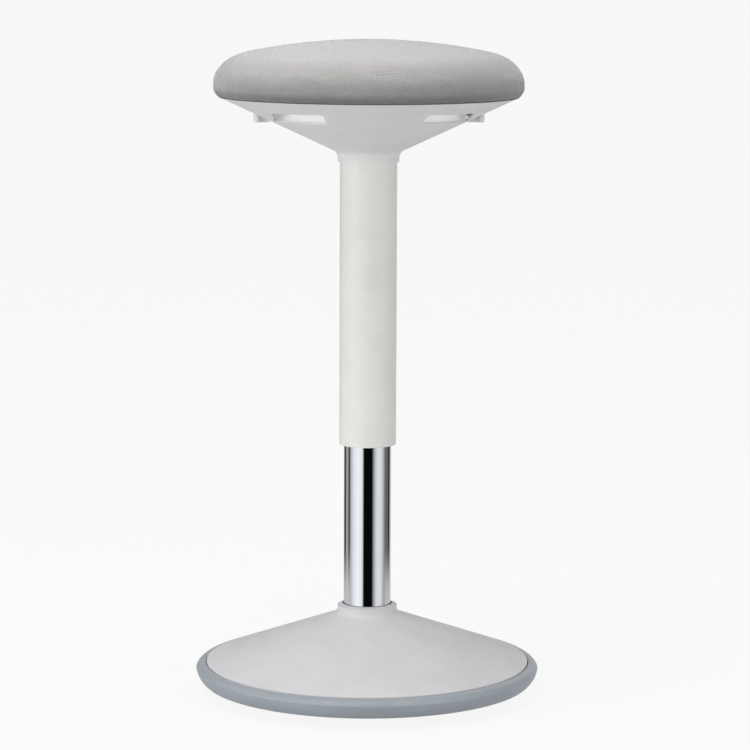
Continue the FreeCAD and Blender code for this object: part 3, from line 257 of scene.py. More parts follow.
@dataclass(frozen=True)
class Finish:
    """A material: its name, its colour and how rough it is."""

    name: str
    colour: Colour
    roughness: float

    def build(self) -> bpy.types.Material:
        """Build the material once.

        Returns:
            The material.
        """
        if self.name in bpy.data.materials:
            return bpy.data.materials[self.name]
        material = bpy.data.materials.new(self.name)
        material.use_nodes = True
        material.diffuse_color = (*self.colour, 1.0)
        wiring = Wiring(material.node_tree)
        shader = material.node_tree.nodes["Principled BSDF"]
        shader.inputs["Roughness"].default_value = self.roughness
        self.dress(wiring, shader)
        return material

    def dress(self, wiring: Wiring, shader: bpy.types.Node) -> None:
        """Join the finish's own nodes to the shader.

        Args:
            wiring: the material's tree.
            shader: its Principled BSDF.
        """
        raise NotImplementedError

    @staticmethod
    def place(wiring: Wiring) -> Socket:
        """The surface's place in the object's own frame."""
        return wiring.add("TexCoord").outputs["Object"]

    @staticmethod
    def group(wiring: Wiring, tree: bpy.types.NodeTree, place: Socket, **values: float) -> bpy.types.Node:
        """Put a node group into the material.

        Args:
            wiring: the material's tree.
            tree: the group.
            place: the coordinates it reads.
            values: its inputs, with underscores for blanks.

        Returns:
            The group node.
        """
        node = wiring.add("Group", node_tree=tree)
        wiring.tree.links.new(place, node.inputs["Place"])
        for key, value in values.items():
            node.inputs[key.replace("_", " ")].default_value = value
        return node

    @staticmethod
    def laid(wiring: Wiring, under: object, mask: Socket, share: float, over: Colour) -> Socket:
        """Lay a second colour over the first where a mask says so.

        Args:
            wiring: the material's tree.
            under: the colour or socket below.
            mask: where the second colour lies.
            share: how much of it shows at most.
            over: the second colour.

        Returns:
            The colour output.
        """
        return wiring.blend(wiring.math("MULTIPLY", mask, share), under, over)

    @staticmethod
    def emboss(wiring: Wiring, shader: bpy.types.Node, height: Socket, depth: float, strength: float) -> None:
        """Give the shader a bump.

        Args:
            wiring: the material's tree.
            shader: its Principled BSDF.
            height: the height map.
            depth: metres from 0 to 1 of the map.
            strength: how much of it counts.
        """
        bump = wiring.add("Bump", {"Height": height, "Distance": depth, "Strength": strength})
        wiring.tree.links.new(bump.outputs[0], shader.inputs["Normal"])


@dataclass(frozen=True)
class MouldedPlastic(Finish):
    """Injection-moulded plastic: pebble grain, slight colour flow, scuffs between two heights, dust, and a
    painted glow near the axis.
    """

    rub_from: float = -1.0
    rub_to: float = 2.0
    wear: float = 0.35
    grain_depth: float = 0.00004
    # glow: strength of the painted glow; the next two give the radii where it is full and where it has faded
    # out
    glow: float = 0.0
    painted_glow_full: float = 0.1020
    painted_glow_end: float = 0.1045

    def dress(self, wiring: Wiring, shader: bpy.types.Node) -> None:
        """Join grain and traces of use; a painted glow near the axis, an emission from plastic that is no
        lamp, brightens the lever's inner grip wall and stands for light that thin walls let through.

        Args:
            wiring: the material's tree.
            shader: its Principled BSDF.
        """
        place = self.place(wiring)
        # painted glow: the plastic emits its own colour near the axis, fading out a little further out
        if self.glow:
            flat = wiring.add("VectorMath", {0: place, 1: (1.0, 1.0, 0.0)}, operation="MULTIPLY").outputs[0]
            reach = wiring.add("VectorMath", {0: flat}, operation="LENGTH").outputs["Value"]
            painted_glow_mask = wiring.spread(reach, self.painted_glow_full, self.painted_glow_end, 1.0, 0.0)
            painted_glow_colour = wiring.blend(painted_glow_mask, BLACK, self.colour)
            wiring.tree.links.new(painted_glow_colour, shader.inputs["Emission Color"])
            shader.inputs["Emission Strength"].default_value = self.glow
        grain = self.group(wiring, grain_group(), place)
        traces = self.group(wiring, use_group(), place, Rub_From=self.rub_from, Rub_To=self.rub_to)
        shade = tuple(value * 0.955 for value in self.colour)
        base = wiring.blend(grain.outputs["Flow"], self.colour, shade)
        base = self.laid(wiring, base, traces.outputs["Dust"], 0.22 * self.wear, (0.52, 0.50, 0.47))
        base = self.laid(wiring, base, traces.outputs["Scuff"], 0.5 * self.wear, (0.33, 0.33, 0.34))
        polished = tuple(min(1.0, value * 1.08) for value in self.colour)
        base = self.laid(wiring, base, traces.outputs["Edge"], 0.35, polished)
        wiring.tree.links.new(base, shader.inputs["Base Color"])
        rough = wiring.math("MULTIPLY_ADD", grain.outputs["Mottle"], 0.10, self.roughness - 0.05)
        rough = wiring.math("MULTIPLY_ADD", traces.outputs["Scuff"], 0.18, rough)
        rough = wiring.math("MULTIPLY_ADD", traces.outputs["Dust"], 0.15, rough)
        wiring.tree.links.new(rough, shader.inputs["Roughness"])
        self.emboss(wiring, shader, grain.outputs["Height"], self.grain_depth, 0.6)


@dataclass(frozen=True)
class CastRubber(Finish):
    """Moulded rubber: matt skin with a bloom, scuffs and dust held in its grain."""

    bloom: Colour = (0.5, 0.5, 0.5)
    grain_depth: float = 0.00007

    def dress(self, wiring: Wiring, shader: bpy.types.Node) -> None:
        """Join grain, bloom and traces of use.

        Args:
            wiring: the material's tree.
            shader: its Principled BSDF.
        """
        place = self.place(wiring)
        grain = self.group(wiring, grain_group(), place, Pebbles=650.0, Fine=1500.0, Waves=14.0)
        traces = self.group(wiring, use_group(), place)
        base = self.laid(wiring, self.colour, grain.outputs["Flow"], 0.10, self.bloom)
        base = self.laid(wiring, base, traces.outputs["Dust"], 0.16, (0.55, 0.53, 0.50))
        base = self.laid(wiring, base, traces.outputs["Scuff"], 0.30, self.bloom)
        base = self.laid(wiring, base, traces.outputs["Edge"], 0.25, self.bloom)
        wiring.tree.links.new(base, shader.inputs["Base Color"])
        rough = wiring.math("MULTIPLY_ADD", grain.outputs["Mottle"], 0.14, self.roughness - 0.07)
        wiring.tree.links.new(rough, shader.inputs["Roughness"])
        self.emboss(wiring, shader, grain.outputs["Height"], self.grain_depth, 0.8)


class Lines(Enum):
    """How a metal's fine lines run: the scale of their noise across X, Y and Z."""

    ROUND = (40.0, 40.0, 900.0)
    ALONG = (900.0, 900.0, 12.0)


@dataclass(frozen=True)
class PlatedMetal(Finish):
    """Polished, plated or turned metal: fine lines round or along it, finger haze and a few specks."""

    lines: Lines = Lines.ROUND
    haze: float = 0.06
    line_depth: float = 0.000004

    def dress(self, wiring: Wiring, shader: bpy.types.Node) -> None:
        """Join lines and haze; the metal's value is set on the shader itself.

        Args:
            wiring: the material's tree.
            shader: its Principled BSDF.
        """
        shader.inputs["Metallic"].default_value = 1.0
        place = self.place(wiring)
        drawn = wiring.add("Mapping", {"Vector": place, "Scale": self.lines.value}).outputs[0]
        lines = wiring.add("TexNoise", {"Vector": drawn, "Scale": 1.0, "Detail": 4.0}).outputs["Fac"]
        patches = wiring.add("TexNoise", {"Vector": place, "Scale": 34.0, "Detail": 5.0}).outputs["Fac"]
        specks = wiring.add("TexVoronoi", {"Vector": place, "Scale": 260.0}, feature="F1").outputs["Distance"]
        speck = wiring.spread(specks, 0.10, 0.05)
        hazed, pitted = (tuple(value * share for value in self.colour) for share in (0.8, 0.6))
        base = self.laid(wiring, self.colour, wiring.spread(patches, 0.4, 0.7), 0.10, hazed)
        base = self.laid(wiring, base, speck, 0.25, pitted)
        wiring.tree.links.new(base, shader.inputs["Base Color"])
        rough = wiring.math("MULTIPLY_ADD", wiring.spread(patches, 0.45, 0.75), self.haze, self.roughness)
        rough = wiring.math("MULTIPLY_ADD", lines, self.haze * 0.5, rough)
        wiring.tree.links.new(rough, shader.inputs["Roughness"])
        self.emboss(wiring, shader, lines, self.line_depth, 0.5)


@dataclass(frozen=True)
class CoatedSteel(Finish):
    """Powder-coated or painted steel: orange peel, chipped edges and dust."""

    bare: Colour = (0.35, 0.34, 0.33)

    def dress(self, wiring: Wiring, shader: bpy.types.Node) -> None:
        """Join orange peel and worn edges.

        Args:
            wiring: the material's tree.
            shader: its Principled BSDF.
        """
        place = self.place(wiring)
        peel = self.group(wiring, grain_group(), place, Pebbles=420.0, Fine=900.0, Waves=20.0)
        traces = self.group(wiring, use_group(), place)
        base = self.laid(wiring, self.colour, traces.outputs["Dust"], 0.18, (0.4, 0.39, 0.37))
        base = self.laid(wiring, base, traces.outputs["Edge"], 0.6, self.bare)
        wiring.tree.links.new(base, shader.inputs["Base Color"])
        rough = wiring.math("MULTIPLY_ADD", peel.outputs["Mottle"], 0.12, self.roughness - 0.06)
        wiring.tree.links.new(rough, shader.inputs["Roughness"])
        self.emboss(wiring, shader, peel.outputs["Height"], 0.00008, 0.5)


@dataclass(frozen=True)
class Plywood(Finish):
    """Sanded plywood: long grain on the faces, plies at the edge."""

    ply: float = 0.0017

    def dress(self, wiring: Wiring, shader: bpy.types.Node) -> None:
        """Join face grain and edge plies.

        Args:
            wiring: the material's tree.
            shader: its Principled BSDF.
        """
        place = self.place(wiring)
        drawn = wiring.add("Mapping", {"Vector": place, "Scale": (6.0, 90.0, 90.0)}).outputs[0]
        figure = wiring.add("TexNoise", {"Vector": drawn, "Scale": 1.0, "Detail": 6.0, "Distortion": 1.2})
        streak = wiring.spread(figure.outputs["Fac"], 0.35, 0.7)
        height = wiring.add("SeparateXYZ", {0: place}).outputs["Z"]
        ply = wiring.math("SINE", wiring.math("MULTIPLY", height, math.pi / self.ply))
        dark = tuple(value * 0.55 for value in self.colour)
        base = self.laid(wiring, self.colour, streak, 0.6, dark)
        sides = wiring.add("SeparateXYZ", {0: wiring.add("NewGeometry").outputs["Normal"]}).outputs["Z"]
        edge = wiring.math("SUBTRACT", 1.0, wiring.spread(wiring.math("ABSOLUTE", sides), 0.3, 0.7))
        plies = wiring.math("MULTIPLY", edge, wiring.spread(ply, -0.2, 0.2, 0.0, 0.7))
        base = wiring.blend(plies, base, dark)
        wiring.tree.links.new(base, shader.inputs["Base Color"])
        self.emboss(wiring, shader, figure.outputs["Fac"], 0.00015, 0.4)


@dataclass(frozen=True)
class WovenFabric(Finish):
    """Upholstery weave on the fabric_plane attribute: mixed threads with painted shade in their hollows,
    painted shade where it turns down, soft nap.
    """

    pitch: float = 0.0018
    thread_height: float = 0.0003
    nap: float = 0.75
    # painted shade towards black where the pad turns down: its greatest share, and how fast it grows
    painted_shade_depth: float = 0.52
    painted_shade_curve: float = 0.55
    light: Colour = (0.6, 0.6, 0.6)
    dark: Colour = (0.2, 0.2, 0.2)

    def dress(self, wiring: Wiring, shader: bpy.types.Node) -> None:
        """Join the weave; the nap is the shader's own sheen.

        Args:
            wiring: the material's tree.
            shader: its Principled BSDF.
        """
        plane = wiring.add("Attribute", attribute_name="fabric_plane", attribute_type="GEOMETRY")
        weave = self.group(wiring, weave_group(), plane.outputs["Vector"], Pitch=self.pitch)
        place = self.place(wiring)
        slow = wiring.add("TexNoise", {"Vector": place, "Scale": 18.0, "Detail": 3.0}).outputs["Fac"]
        # painted shade in the weave: the fabric's dark colour where the threads are low, its own colour on
        # their tops
        base = wiring.blend(weave.outputs["Shade"], self.dark, self.colour)
        base = self.laid(wiring, base, weave.outputs["Slub"], 0.16, self.light)
        base = self.laid(wiring, base, wiring.spread(slow, 0.35, 0.65), 0.06, self.dark)
        # painted shade: the colour darkens towards black as the surface turns down, standing for light that
        # falls from above
        tilt = wiring.add("SeparateXYZ", {0: wiring.add("NewGeometry").outputs["Normal"]}).outputs["Z"]
        painted_shade_below = wiring.math("POWER", wiring.math("SUBTRACT", 1.0, tilt), self.painted_shade_curve)
        base = wiring.blend(wiring.math("MULTIPLY", painted_shade_below, self.painted_shade_depth, clamp=True), base, BLACK)
        wiring.tree.links.new(base, shader.inputs["Base Color"])
        shader.inputs["Sheen Weight"].default_value = self.nap
        shader.inputs["Sheen Roughness"].default_value = 0.3
        shader.inputs["Specular IOR Level"].default_value = 0.2
        self.emboss(wiring, shader, weave.outputs["Height"], self.thread_height, 0.9)


# painted shade: the base shell's white plastic is set darker than the seat shell's, for the shade under the
# seat
SHADED_WHITE_SHELL = MouldedPlastic("white_shell_painted_shade", (0.655, 0.648, 0.665), 0.42, rub_from=0.02, rub_to=0.09)
WHITE_SEAT_SHELL = MouldedPlastic("white_seat_shell", (0.735, 0.742, 0.735), 0.42, rub_from=0.59,
                                  rub_to=0.632)
WHITE_TUBE = MouldedPlastic("off_white_tube", (0.765, 0.765, 0.732), 0.36, rub_from=0.27, rub_to=0.56,
                            wear=0.2)
# painted light: the levers' white is set lighter than the shells' and glows, to brighten their grip walls
# seen through the seat shell's windows
WHITE_LEVER = MouldedPlastic("white_lever", (0.82, 0.82, 0.82), 0.38, wear=0.3, glow=0.36)
BLACK_SLIDE = MouldedPlastic("black_slide_plastic", (0.035, 0.035, 0.036), 0.45)
GREY_RING = CastRubber("blue_grey_ring", (0.31, 0.345, 0.380), 0.34, bloom=(0.45, 0.48, 0.52))
BLACK_SOLE = CastRubber("black_sole", (0.035, 0.035, 0.037), 0.72, bloom=(0.16, 0.16, 0.16))
CHROME = PlatedMetal("chrome", (0.86, 0.865, 0.875), 0.035, lines=Lines.ALONG, haze=0.015)
GROUND_ROD = PlatedMetal("ground_rod", (0.70, 0.70, 0.71), 0.12)
ZINC = PlatedMetal("zinc_plate", (0.62, 0.62, 0.60), 0.34, haze=0.15)
ALUMINIUM = PlatedMetal("turned_aluminium", (0.74, 0.74, 0.76), 0.28, haze=0.12)
BRASS = PlatedMetal("stamped_brass", (0.76, 0.58, 0.30), 0.26, haze=0.10)
BLACK_STEEL = CoatedSteel("black_powder_coat", (0.028, 0.028, 0.030), 0.45)
BALLAST_STEEL = CoatedSteel("ballast_coat", (0.05, 0.05, 0.052), 0.6)
PLYWOOD = Plywood("plywood", (0.60, 0.43, 0.26), 0.6)
PAD_FABRIC = WovenFabric("warm_grey_weave", (0.765, 0.748, 0.738), 0.92, light=(0.88, 0.87, 0.86),
                         dark=(0.33, 0.32, 0.315))
# dark finish of the ring turned round the pad's seam
DARK_SEAM_FINISH = CastRubber("dark_seam_finish", (0.075, 0.072, 0.07), 0.8, bloom=(0.2, 0.2, 0.2))


def surface(name: str, points: np.ndarray, faces: np.ndarray, finish: Finish,
            sharp: float = 35.0) -> bpy.types.Object:
    """Make an object from numpy points and faces, smooth but for edges sharper than an angle.

    Args:
        name: the piece's name.
        points: n by 3 places in metres.
        faces: m by 4 or m by 3 indices.
        finish: its material.
        sharp: the angle in degrees.

    Returns:
        The object, linked to the scene.
    """
    mesh = bpy.data.meshes.new(name)
    mesh.from_pydata(points.tolist(), [], faces.tolist())
    mesh.validate()
    mesh.polygons.foreach_set("use_smooth", np.ones(len(mesh.polygons), bool))
    mesh.set_sharp_from_angle(angle=math.radians(sharp))
    mesh.materials.append(finish.build())
    piece = bpy.data.objects.new(name, mesh)
    bpy.context.scene.collection.objects.link(piece)
    return piece


def turned_grid(radii: np.ndarray, heights: np.ndarray, segments: int) -> tuple[np.ndarray, np.ndarray]:
    """Turn an open profile about the Z axis: point (i, j) is (r_j cos a_i, r_j sin a_i, z_j).

    Args:
        radii: the profile's radii, above zero.
        heights: its heights.
        segments: how many steps round.

    Returns:
        Points and quads. The quads face away from the axis where the profile runs upwards.
    """
    angles = np.linspace(0, 2 * np.pi, segments, endpoint=False)
    points = np.stack([np.outer(np.cos(angles), radii), np.outer(np.sin(angles), radii),
                       np.tile(heights, (segments, 1))], axis=-1).reshape(-1, 3)
    steps = len(radii)
    here = np.arange(segments)[:, None] * steps + np.arange(steps - 1)[None, :]
    there = (np.arange(segments) + 1)[:, None] % segments * steps + np.arange(steps - 1)[None, :]
    quads = np.stack([here, there, there + 1, here + 1], axis=-1).reshape(-1, 4)
    return points, quads


def rounded(corners: Sequence[tuple[float, float, float]], steps: int = 8) -> np.ndarray:
    """Round the corners of a closed section.

    Args:
        corners: radius from the axis, height and rounding of each corner.
        steps: points in each rounding.

    Returns:
        n by 2 points of the section.
    """
    rows = []
    for index, (across, up, size) in enumerate(corners):
        here = np.array([across, up])
        if size == 0:
            rows.append(here[None, :])
            continue
        before = np.array(corners[index - 1][:2]) - here
        after = np.array(corners[(index + 1) % len(corners)][:2]) - here
        before, after = before / np.linalg.norm(before), after / np.linalg.norm(after)
        half = math.acos(float(np.clip(before @ after, -1, 1))) / 2
        centre = here + (before + after) / np.linalg.norm(before + after) * size / math.sin(half)
        start = here + before * size / math.tan(half) - centre
        swing = (math.pi - 2 * half) * np.linspace(0, 1, steps)
        swing *= np.sign(start[0] * after[1] - start[1] * after[0])
        rows.append(centre + np.stack([start[0] * np.cos(swing) - start[1] * np.sin(swing),
                                       start[0] * np.sin(swing) + start[1] * np.cos(swing)], axis=1))
    return np.concatenate(rows)


def turned_ring(name: str, section: np.ndarray, segments: int, finish: Finish,
                sharp: float = 35.0) -> bpy.types.Object:
    """Turn a closed section about the Z axis, which gives a closed ring.

    Args:
        name: the piece's name.
        section: n by 2 points, radius and height, anticlockwise.
        segments: how many steps round.
        finish: its material.
        sharp: edges above this angle in degrees stay sharp.

    Returns:
        The ring.
    """
    points, quads = turned_grid(section[:, 0], section[:, 1], segments)
    steps = len(section)
    here = np.arange(segments) * steps + steps - 1
    there = (np.arange(segments) + 1) % segments * steps + steps - 1
    seam = np.stack([here, there, there - steps + 1, here - steps + 1], axis=-1)
    return surface(name, points, np.vstack([quads, seam]), finish, sharp)


@dataclass
class Assembly:
    """A sub-assembly: its CAD nodes with their finishes."""

    title: str
    finishes: dict[str, Finish]

    def build(self) -> None:
        """Dress the nodes, then make the pieces of its own."""
        for name, finish in self.finishes.items():
            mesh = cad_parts[name].data
            mesh.materials.clear()
            mesh.materials.append(finish.build())
        self.shape()
        log.info("%s: %d nodes dressed", self.title, len(self.finishes))

    def shape(self) -> None:
        """Make the pieces that stand in for plainer CAD forms."""


@dataclass
class RockingBase(Assembly):
    """Sole, ring, ballast and column socket, under a cone whose collar holds the chrome column."""

    rim: float = 0.171
    foot: float = 0.028
    rim_height: float = 0.0336
    collar: float = 0.0314
    cone_top: float = 0.0850
    collar_top: float = 0.0951
    wall: float = 0.0032
    mouth: float = 0.0256
    bore: float = 0.0293
    mouth_depth: float = 0.005
    edge_round: float = 0.0008
    root_round: float = 0.007
    lip_round: float = 0.0020
    segments: int = 256

    def shape(self) -> None:
        """Turn the cone with the low collar that the photograph shows."""
        inner_top = self.cone_top - self.wall
        mouth_foot = self.collar_top - self.mouth_depth
        section = rounded([(self.rim - self.wall, self.foot, 0), (self.rim, self.foot, self.edge_round / 2),
                           (self.rim, self.rim_height, self.edge_round),
                           (self.collar, self.cone_top, self.root_round),
                           (self.collar, self.collar_top, self.lip_round),
                           (self.mouth, self.collar_top, self.edge_round),
                           (self.mouth, mouth_foot, 0), (self.bore, mouth_foot, 0),
                           (self.bore, inner_top, 0), (self.rim - self.wall, self.rim_height - self.wall, 0)])
        cone = turned_ring("base_cone", section, self.segments, SHADED_WHITE_SHELL)
        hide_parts("base_shell")
        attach(cone, "base")


def places_of(mesh: bpy.types.Mesh) -> np.ndarray:
    """The mesh's vertices, one row each.

    Args:
        mesh: the mesh to read.

    Returns:
        Their places.
    """
    places = np.zeros(len(mesh.vertices) * 3)
    mesh.vertices.foreach_get("co", places)
    return places.reshape(-1, 3)


@dataclass
class DarkSeamRing:
    """A dark flat ring turned round the pad's seam, where its cover meets the shell's rim."""

    radius: float = 0.1560
    height: float = 0.6330
    half_width: float = 0.0011
    half_height: float = 0.0009
    segments: int = 256

    def build(self) -> bpy.types.Object:
        """Turn a flat oval round the rim.

        Returns:
            The dark ring.
        """
        turn = np.linspace(0, 2 * np.pi, 12, endpoint=False)
        section = np.stack([self.radius + self.half_width * np.cos(turn),
                            self.height + self.half_height * np.sin(turn)], axis=1)
        # a dark ring along the seam draws a dark line between the cover and the rim
        seam_ring = turned_ring("dark_seam_ring", section, self.segments, DARK_SEAM_FINISH, 80)
        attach(seam_ring, "seat")
        return seam_ring


@dataclass
class SeatPad:
    """The upholstered pad: a closed crowned form, swollen and settled by a cloth simulation."""

    top: float = 0.6916
    radius: float = 0.1628
    crown: float = 0.620
    shoulder: float = 0.035
    tuck: float = 0.011
    seam: float = 0.6331
    board_radius: float = 0.1516
    board_top: float = 0.6468
    slack: float = 0.0004
    slack_height: float = 0.02
    settle_from: float = 0.66
    settle_height: float = 0.03
    give: float = 0.0006
    segments: int = 192
    staples: int = 40
    draw: float = 0.00035
    draw_height: float = 0.009
    slow_folds: int = 13
    fold_depth: float = 0.0002
    frames: int = 20
    pressure: float = 4.0
    stretch: float = 18.0
    bending: float = 0.6

    def outline(self) -> tuple[np.ndarray, np.ndarray, np.ndarray]:
        """The pad's section: a crown arc, a shoulder arc and a tuck arc that run into each other.

        Returns:
            Radii, heights, and the way along the fabric from the middle of the crown.
        """
        lean = math.asin((self.radius - self.shoulder) / (self.crown - self.shoulder))
        middle = self.top - self.crown + (self.crown - self.shoulder) * math.cos(lean)
        low = math.asin((middle - self.seam) / self.tuck)
        arcs = [(0.0, self.top - self.crown, self.crown, np.linspace(0.004, lean, 34, endpoint=False)),
                (self.radius - self.shoulder, middle, self.shoulder,
                 np.linspace(lean, np.pi / 2, 18, endpoint=False)),
                (self.radius - self.tuck, middle, self.tuck, np.linspace(np.pi / 2, np.pi / 2 + low, 9))]
        radii = np.concatenate([centre + size * np.sin(angle) for centre, _, size, angle in arcs])
        heights = np.concatenate([level + size * np.cos(angle) for _, level, size, angle in arcs])
        way = np.concatenate([[radii[0]], radii[0] + np.cumsum(np.hypot(np.diff(radii), np.diff(heights)))])
        return radii, heights, way

    def build(self) -> bpy.types.Object:
        """Make the pad, swell it, and give it its fabric.

        Returns:
            The finished pad.
        """
        radii, heights, way = self.outline()
        shrink = self.slack * np.clip((heights - self.seam) / self.slack_height, 0, 1)
        inner_r = np.array([self.board_radius] * 3 + [0.120, 0.080, 0.040, 0.004])
        inner_z = np.array([self.seam, 0.5 * (self.seam + self.board_top), *([self.board_top] * 5)])
        all_r = np.concatenate([radii, inner_r])
        all_z = np.concatenate([heights, inner_z])
        points, quads = turned_grid(all_r[::-1], all_z[::-1], self.segments)
        steps = len(all_r)
        points = self._drawn_in(points, steps, shrink)
        top_cap = np.arange(self.segments) * steps + steps - 1
        low_cap = np.arange(self.segments)[::-1] * steps
        pad = surface("seat_pad", points, quads, PAD_FABRIC, sharp=60)
        self._close(pad, [top_cap, low_cap])
        self._swell(pad, len(inner_r), steps)
        inward = np.cumsum(np.abs(np.diff(inner_r, prepend=radii[-1])))
        self._lay_fabric(pad, np.concatenate([way, way[-1] + inward]), steps)
        smooth = pad.modifiers.new("finer", "SUBSURF")
        smooth.levels = smooth.render_levels = 1
        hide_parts("seat_cover", "seat_foam")
        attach(pad, "seat")
        return pad

    def _drawn_in(self, points: np.ndarray, steps: int, shrink: np.ndarray) -> np.ndarray:
        """Pull the outline in a little, and near the seam by small waves, one for each staple.

        Args:
            points: the turned grid.
            steps: points in one section.
            shrink: inset of each point of the outline, from the crown down.

        Returns:
            The moved points.
        """
        grid = points.reshape(self.segments, steps, 3)
        angle = np.arctan2(grid[..., 1], grid[..., 0])
        full = np.zeros(steps)
        full[::-1][:len(shrink)] = shrink
        near = np.exp(-((grid[..., 2] - self.seam) / self.draw_height) ** 2)
        wave = (self.draw * np.cos(self.staples * angle)
                + self.fold_depth * np.cos(self.slow_folds * angle + 0.7))
        outside = np.arange(steps)[None, :] >= steps - len(shrink)
        pull = (full[None, :] + wave * near) * outside
        reach = np.hypot(grid[..., 0], grid[..., 1])
        grid[..., 0] *= 1 - pull / np.maximum(reach, 0.01)
        grid[..., 1] *= 1 - pull / np.maximum(reach, 0.01)
        settled = np.clip((grid[..., 2] - self.settle_from) / self.settle_height, 0, 1)
        grid[..., 2] -= full[None, :] * settled
        return grid.reshape(-1, 3)

    @staticmethod
    def _close(pad: bpy.types.Object, rings: Sequence[np.ndarray]) -> None:
        """Close the small holes at the axis with one face each.

        Args:
            pad: the turned pad.
            rings: vertex indices round each hole.
        """
        mesh = pad.data
        points = places_of(mesh)
        middles = np.array([points[ring].mean(axis=0) for ring in rings])
        faces = [list(polygon.vertices) for polygon in mesh.polygons]
        for number, ring in enumerate(rings):
            hub = len(points) + number
            faces += [[int(a), int(b), hub] for a, b in zip(ring, np.roll(ring, -1))]
        mesh.clear_geometry()
        mesh.from_pydata(np.vstack([points, middles]).tolist(), [], faces)
        mesh.polygons.foreach_set("use_smooth", np.ones(len(mesh.polygons), bool))
        mesh.update()

    def _swell(self, pad: bpy.types.Object, pinned: int, steps: int) -> None:
        """Swell the fabric with air pressure while its lower edge is held, then cap how far it moved.

        Args:
            pad: the closed pad.
            pinned: points of each section, from its lower end, that are held.
            steps: points in one section.
        """
        mesh = pad.data
        before = places_of(mesh)
        held = (np.arange(self.segments)[:, None] * steps + np.arange(pinned + 1)[None, :]).ravel()
        group = pad.vertex_groups.new(name="held")
        group.add([int(index) for index in held] + [len(before) - 1], 1.0, "REPLACE")
        cloth = pad.modifiers.new("swell", "CLOTH")
        cloth.settings.quality = 6
        cloth.settings.mass = 0.35
        cloth.settings.tension_stiffness = cloth.settings.compression_stiffness = self.stretch
        cloth.settings.bending_stiffness = self.bending
        cloth.settings.use_pressure = True
        cloth.settings.uniform_pressure_force = self.pressure
        cloth.settings.effector_weights.gravity = 0
        cloth.settings.vertex_group_mass = "held"
        cloth.collision_settings.use_collision = False
        for step in range(1, self.frames + 1):
            bpy.context.scene.frame_set(step)
        evaluated = pad.evaluated_get(bpy.context.evaluated_depsgraph_get())
        moved = places_of(evaluated.data) - before
        length = np.linalg.norm(moved, axis=1, keepdims=True)
        moved *= np.minimum(1, self.give / np.maximum(length, 1e-9))
        pad.modifiers.remove(cloth)
        pad.vertex_groups.remove(group)
        mesh.vertices.foreach_set("co", (before + moved).ravel())
        mesh.update()
        bpy.context.scene.frame_set(1)
        log.info("seat_pad: swollen by %.2f mm at most", 1000 * float(length.max()))

    def _lay_fabric(self, pad: bpy.types.Object, way: np.ndarray, steps: int) -> None:
        """Store where each point lies on the flat fabric: its way from the crown, in its own direction.

        Args:
            pad: the pad.
            way: the way along the section, from the crown to its end.
            steps: points in one section.
        """
        mesh = pad.data
        points = places_of(mesh)
        angle = np.arctan2(points[:, 1], points[:, 0])
        reach = np.zeros(len(points))
        reach[:self.segments * steps] = np.tile(way[::-1], self.segments)
        flat = np.stack([reach * np.cos(angle), reach * np.sin(angle), np.zeros(len(points))], axis=1)
        plane = mesh.attributes.new("fabric_plane", "FLOAT_VECTOR", "POINT")
        plane.data.foreach_set("vector", flat.ravel())


BASE = {"rubber_sole": BLACK_SOLE, "base_ring": GREY_RING, "ballast_plate": BALLAST_STEEL,
        "base_shell": SHADED_WHITE_SHELL, "base_screws": ZINC, "column_socket": BLACK_STEEL, "socket_bolts": ZINC}
LIFT = {"column_tube": CHROME, "guide_bush": BLACK_SLIDE, "bearing_seat": ZINC, "lower_race": ZINC,
        "ball_cage": BRASS, "bearing_balls": GROUND_ROD, "upper_race": ZINC, "piston_rod": GROUND_ROD,
        "rod_clip": ZINC, "bump_stop": BLACK_SOLE, "piston": ALUMINIUM, "piston_seal": BLACK_SOLE,
        "gas_cylinder": BLACK_STEEL, "cylinder_gland": ALUMINIUM, "shroud_tube": WHITE_TUBE,
        "shroud_glide": BLACK_SLIDE, "hub_spacer": BLACK_SLIDE, "valve_cap": BLACK_SLIDE}
SEAT = {"seat_shell": WHITE_SEAT_SHELL, "seat_bracket": BLACK_STEEL, "seat_board": PLYWOOD,
        "insert_nuts": ZINC, "seat_bolts": ZINC}
LEVERS = {"left_lever": WHITE_LEVER, "right_lever": WHITE_LEVER, "lever_pins": ZINC}


@dataclass(frozen=True)
class Lamp:
    """A round soft lamp: its place, how wide it is and its watts."""

    name: str
    place: tuple[float, float, float]
    width: float
    power: float

    def build(self) -> None:
        """Hang the lamp and aim it at the middle of the stool."""
        data = bpy.data.lights.new(self.name, "AREA")
        data.shape = "DISK"
        data.size = self.width
        data.energy = self.power
        lamp = bpy.data.objects.new(self.name, data)
        lamp.location = self.place
        lamp.rotation_euler = (Vector((0, 0, 0.4)) - Vector(self.place)).to_track_quat("-Z", "Y").to_euler()
        lamp.visible_glossy = False
        bpy.context.scene.collection.objects.link(lamp)


LAMPS = (Lamp("top_lamp", (-0.5, -0.6, 2.7), 1.8, 27.0), Lamp("left_lamp", (-2.6, -1.6, 0.9), 1.6, 37.0),
         Lamp("front_lamp", (-0.5, -4.6, 0.5), 2.0, 9.0), Lamp("right_lamp", (2.7, -1.6, 0.8), 1.6, 21.0))


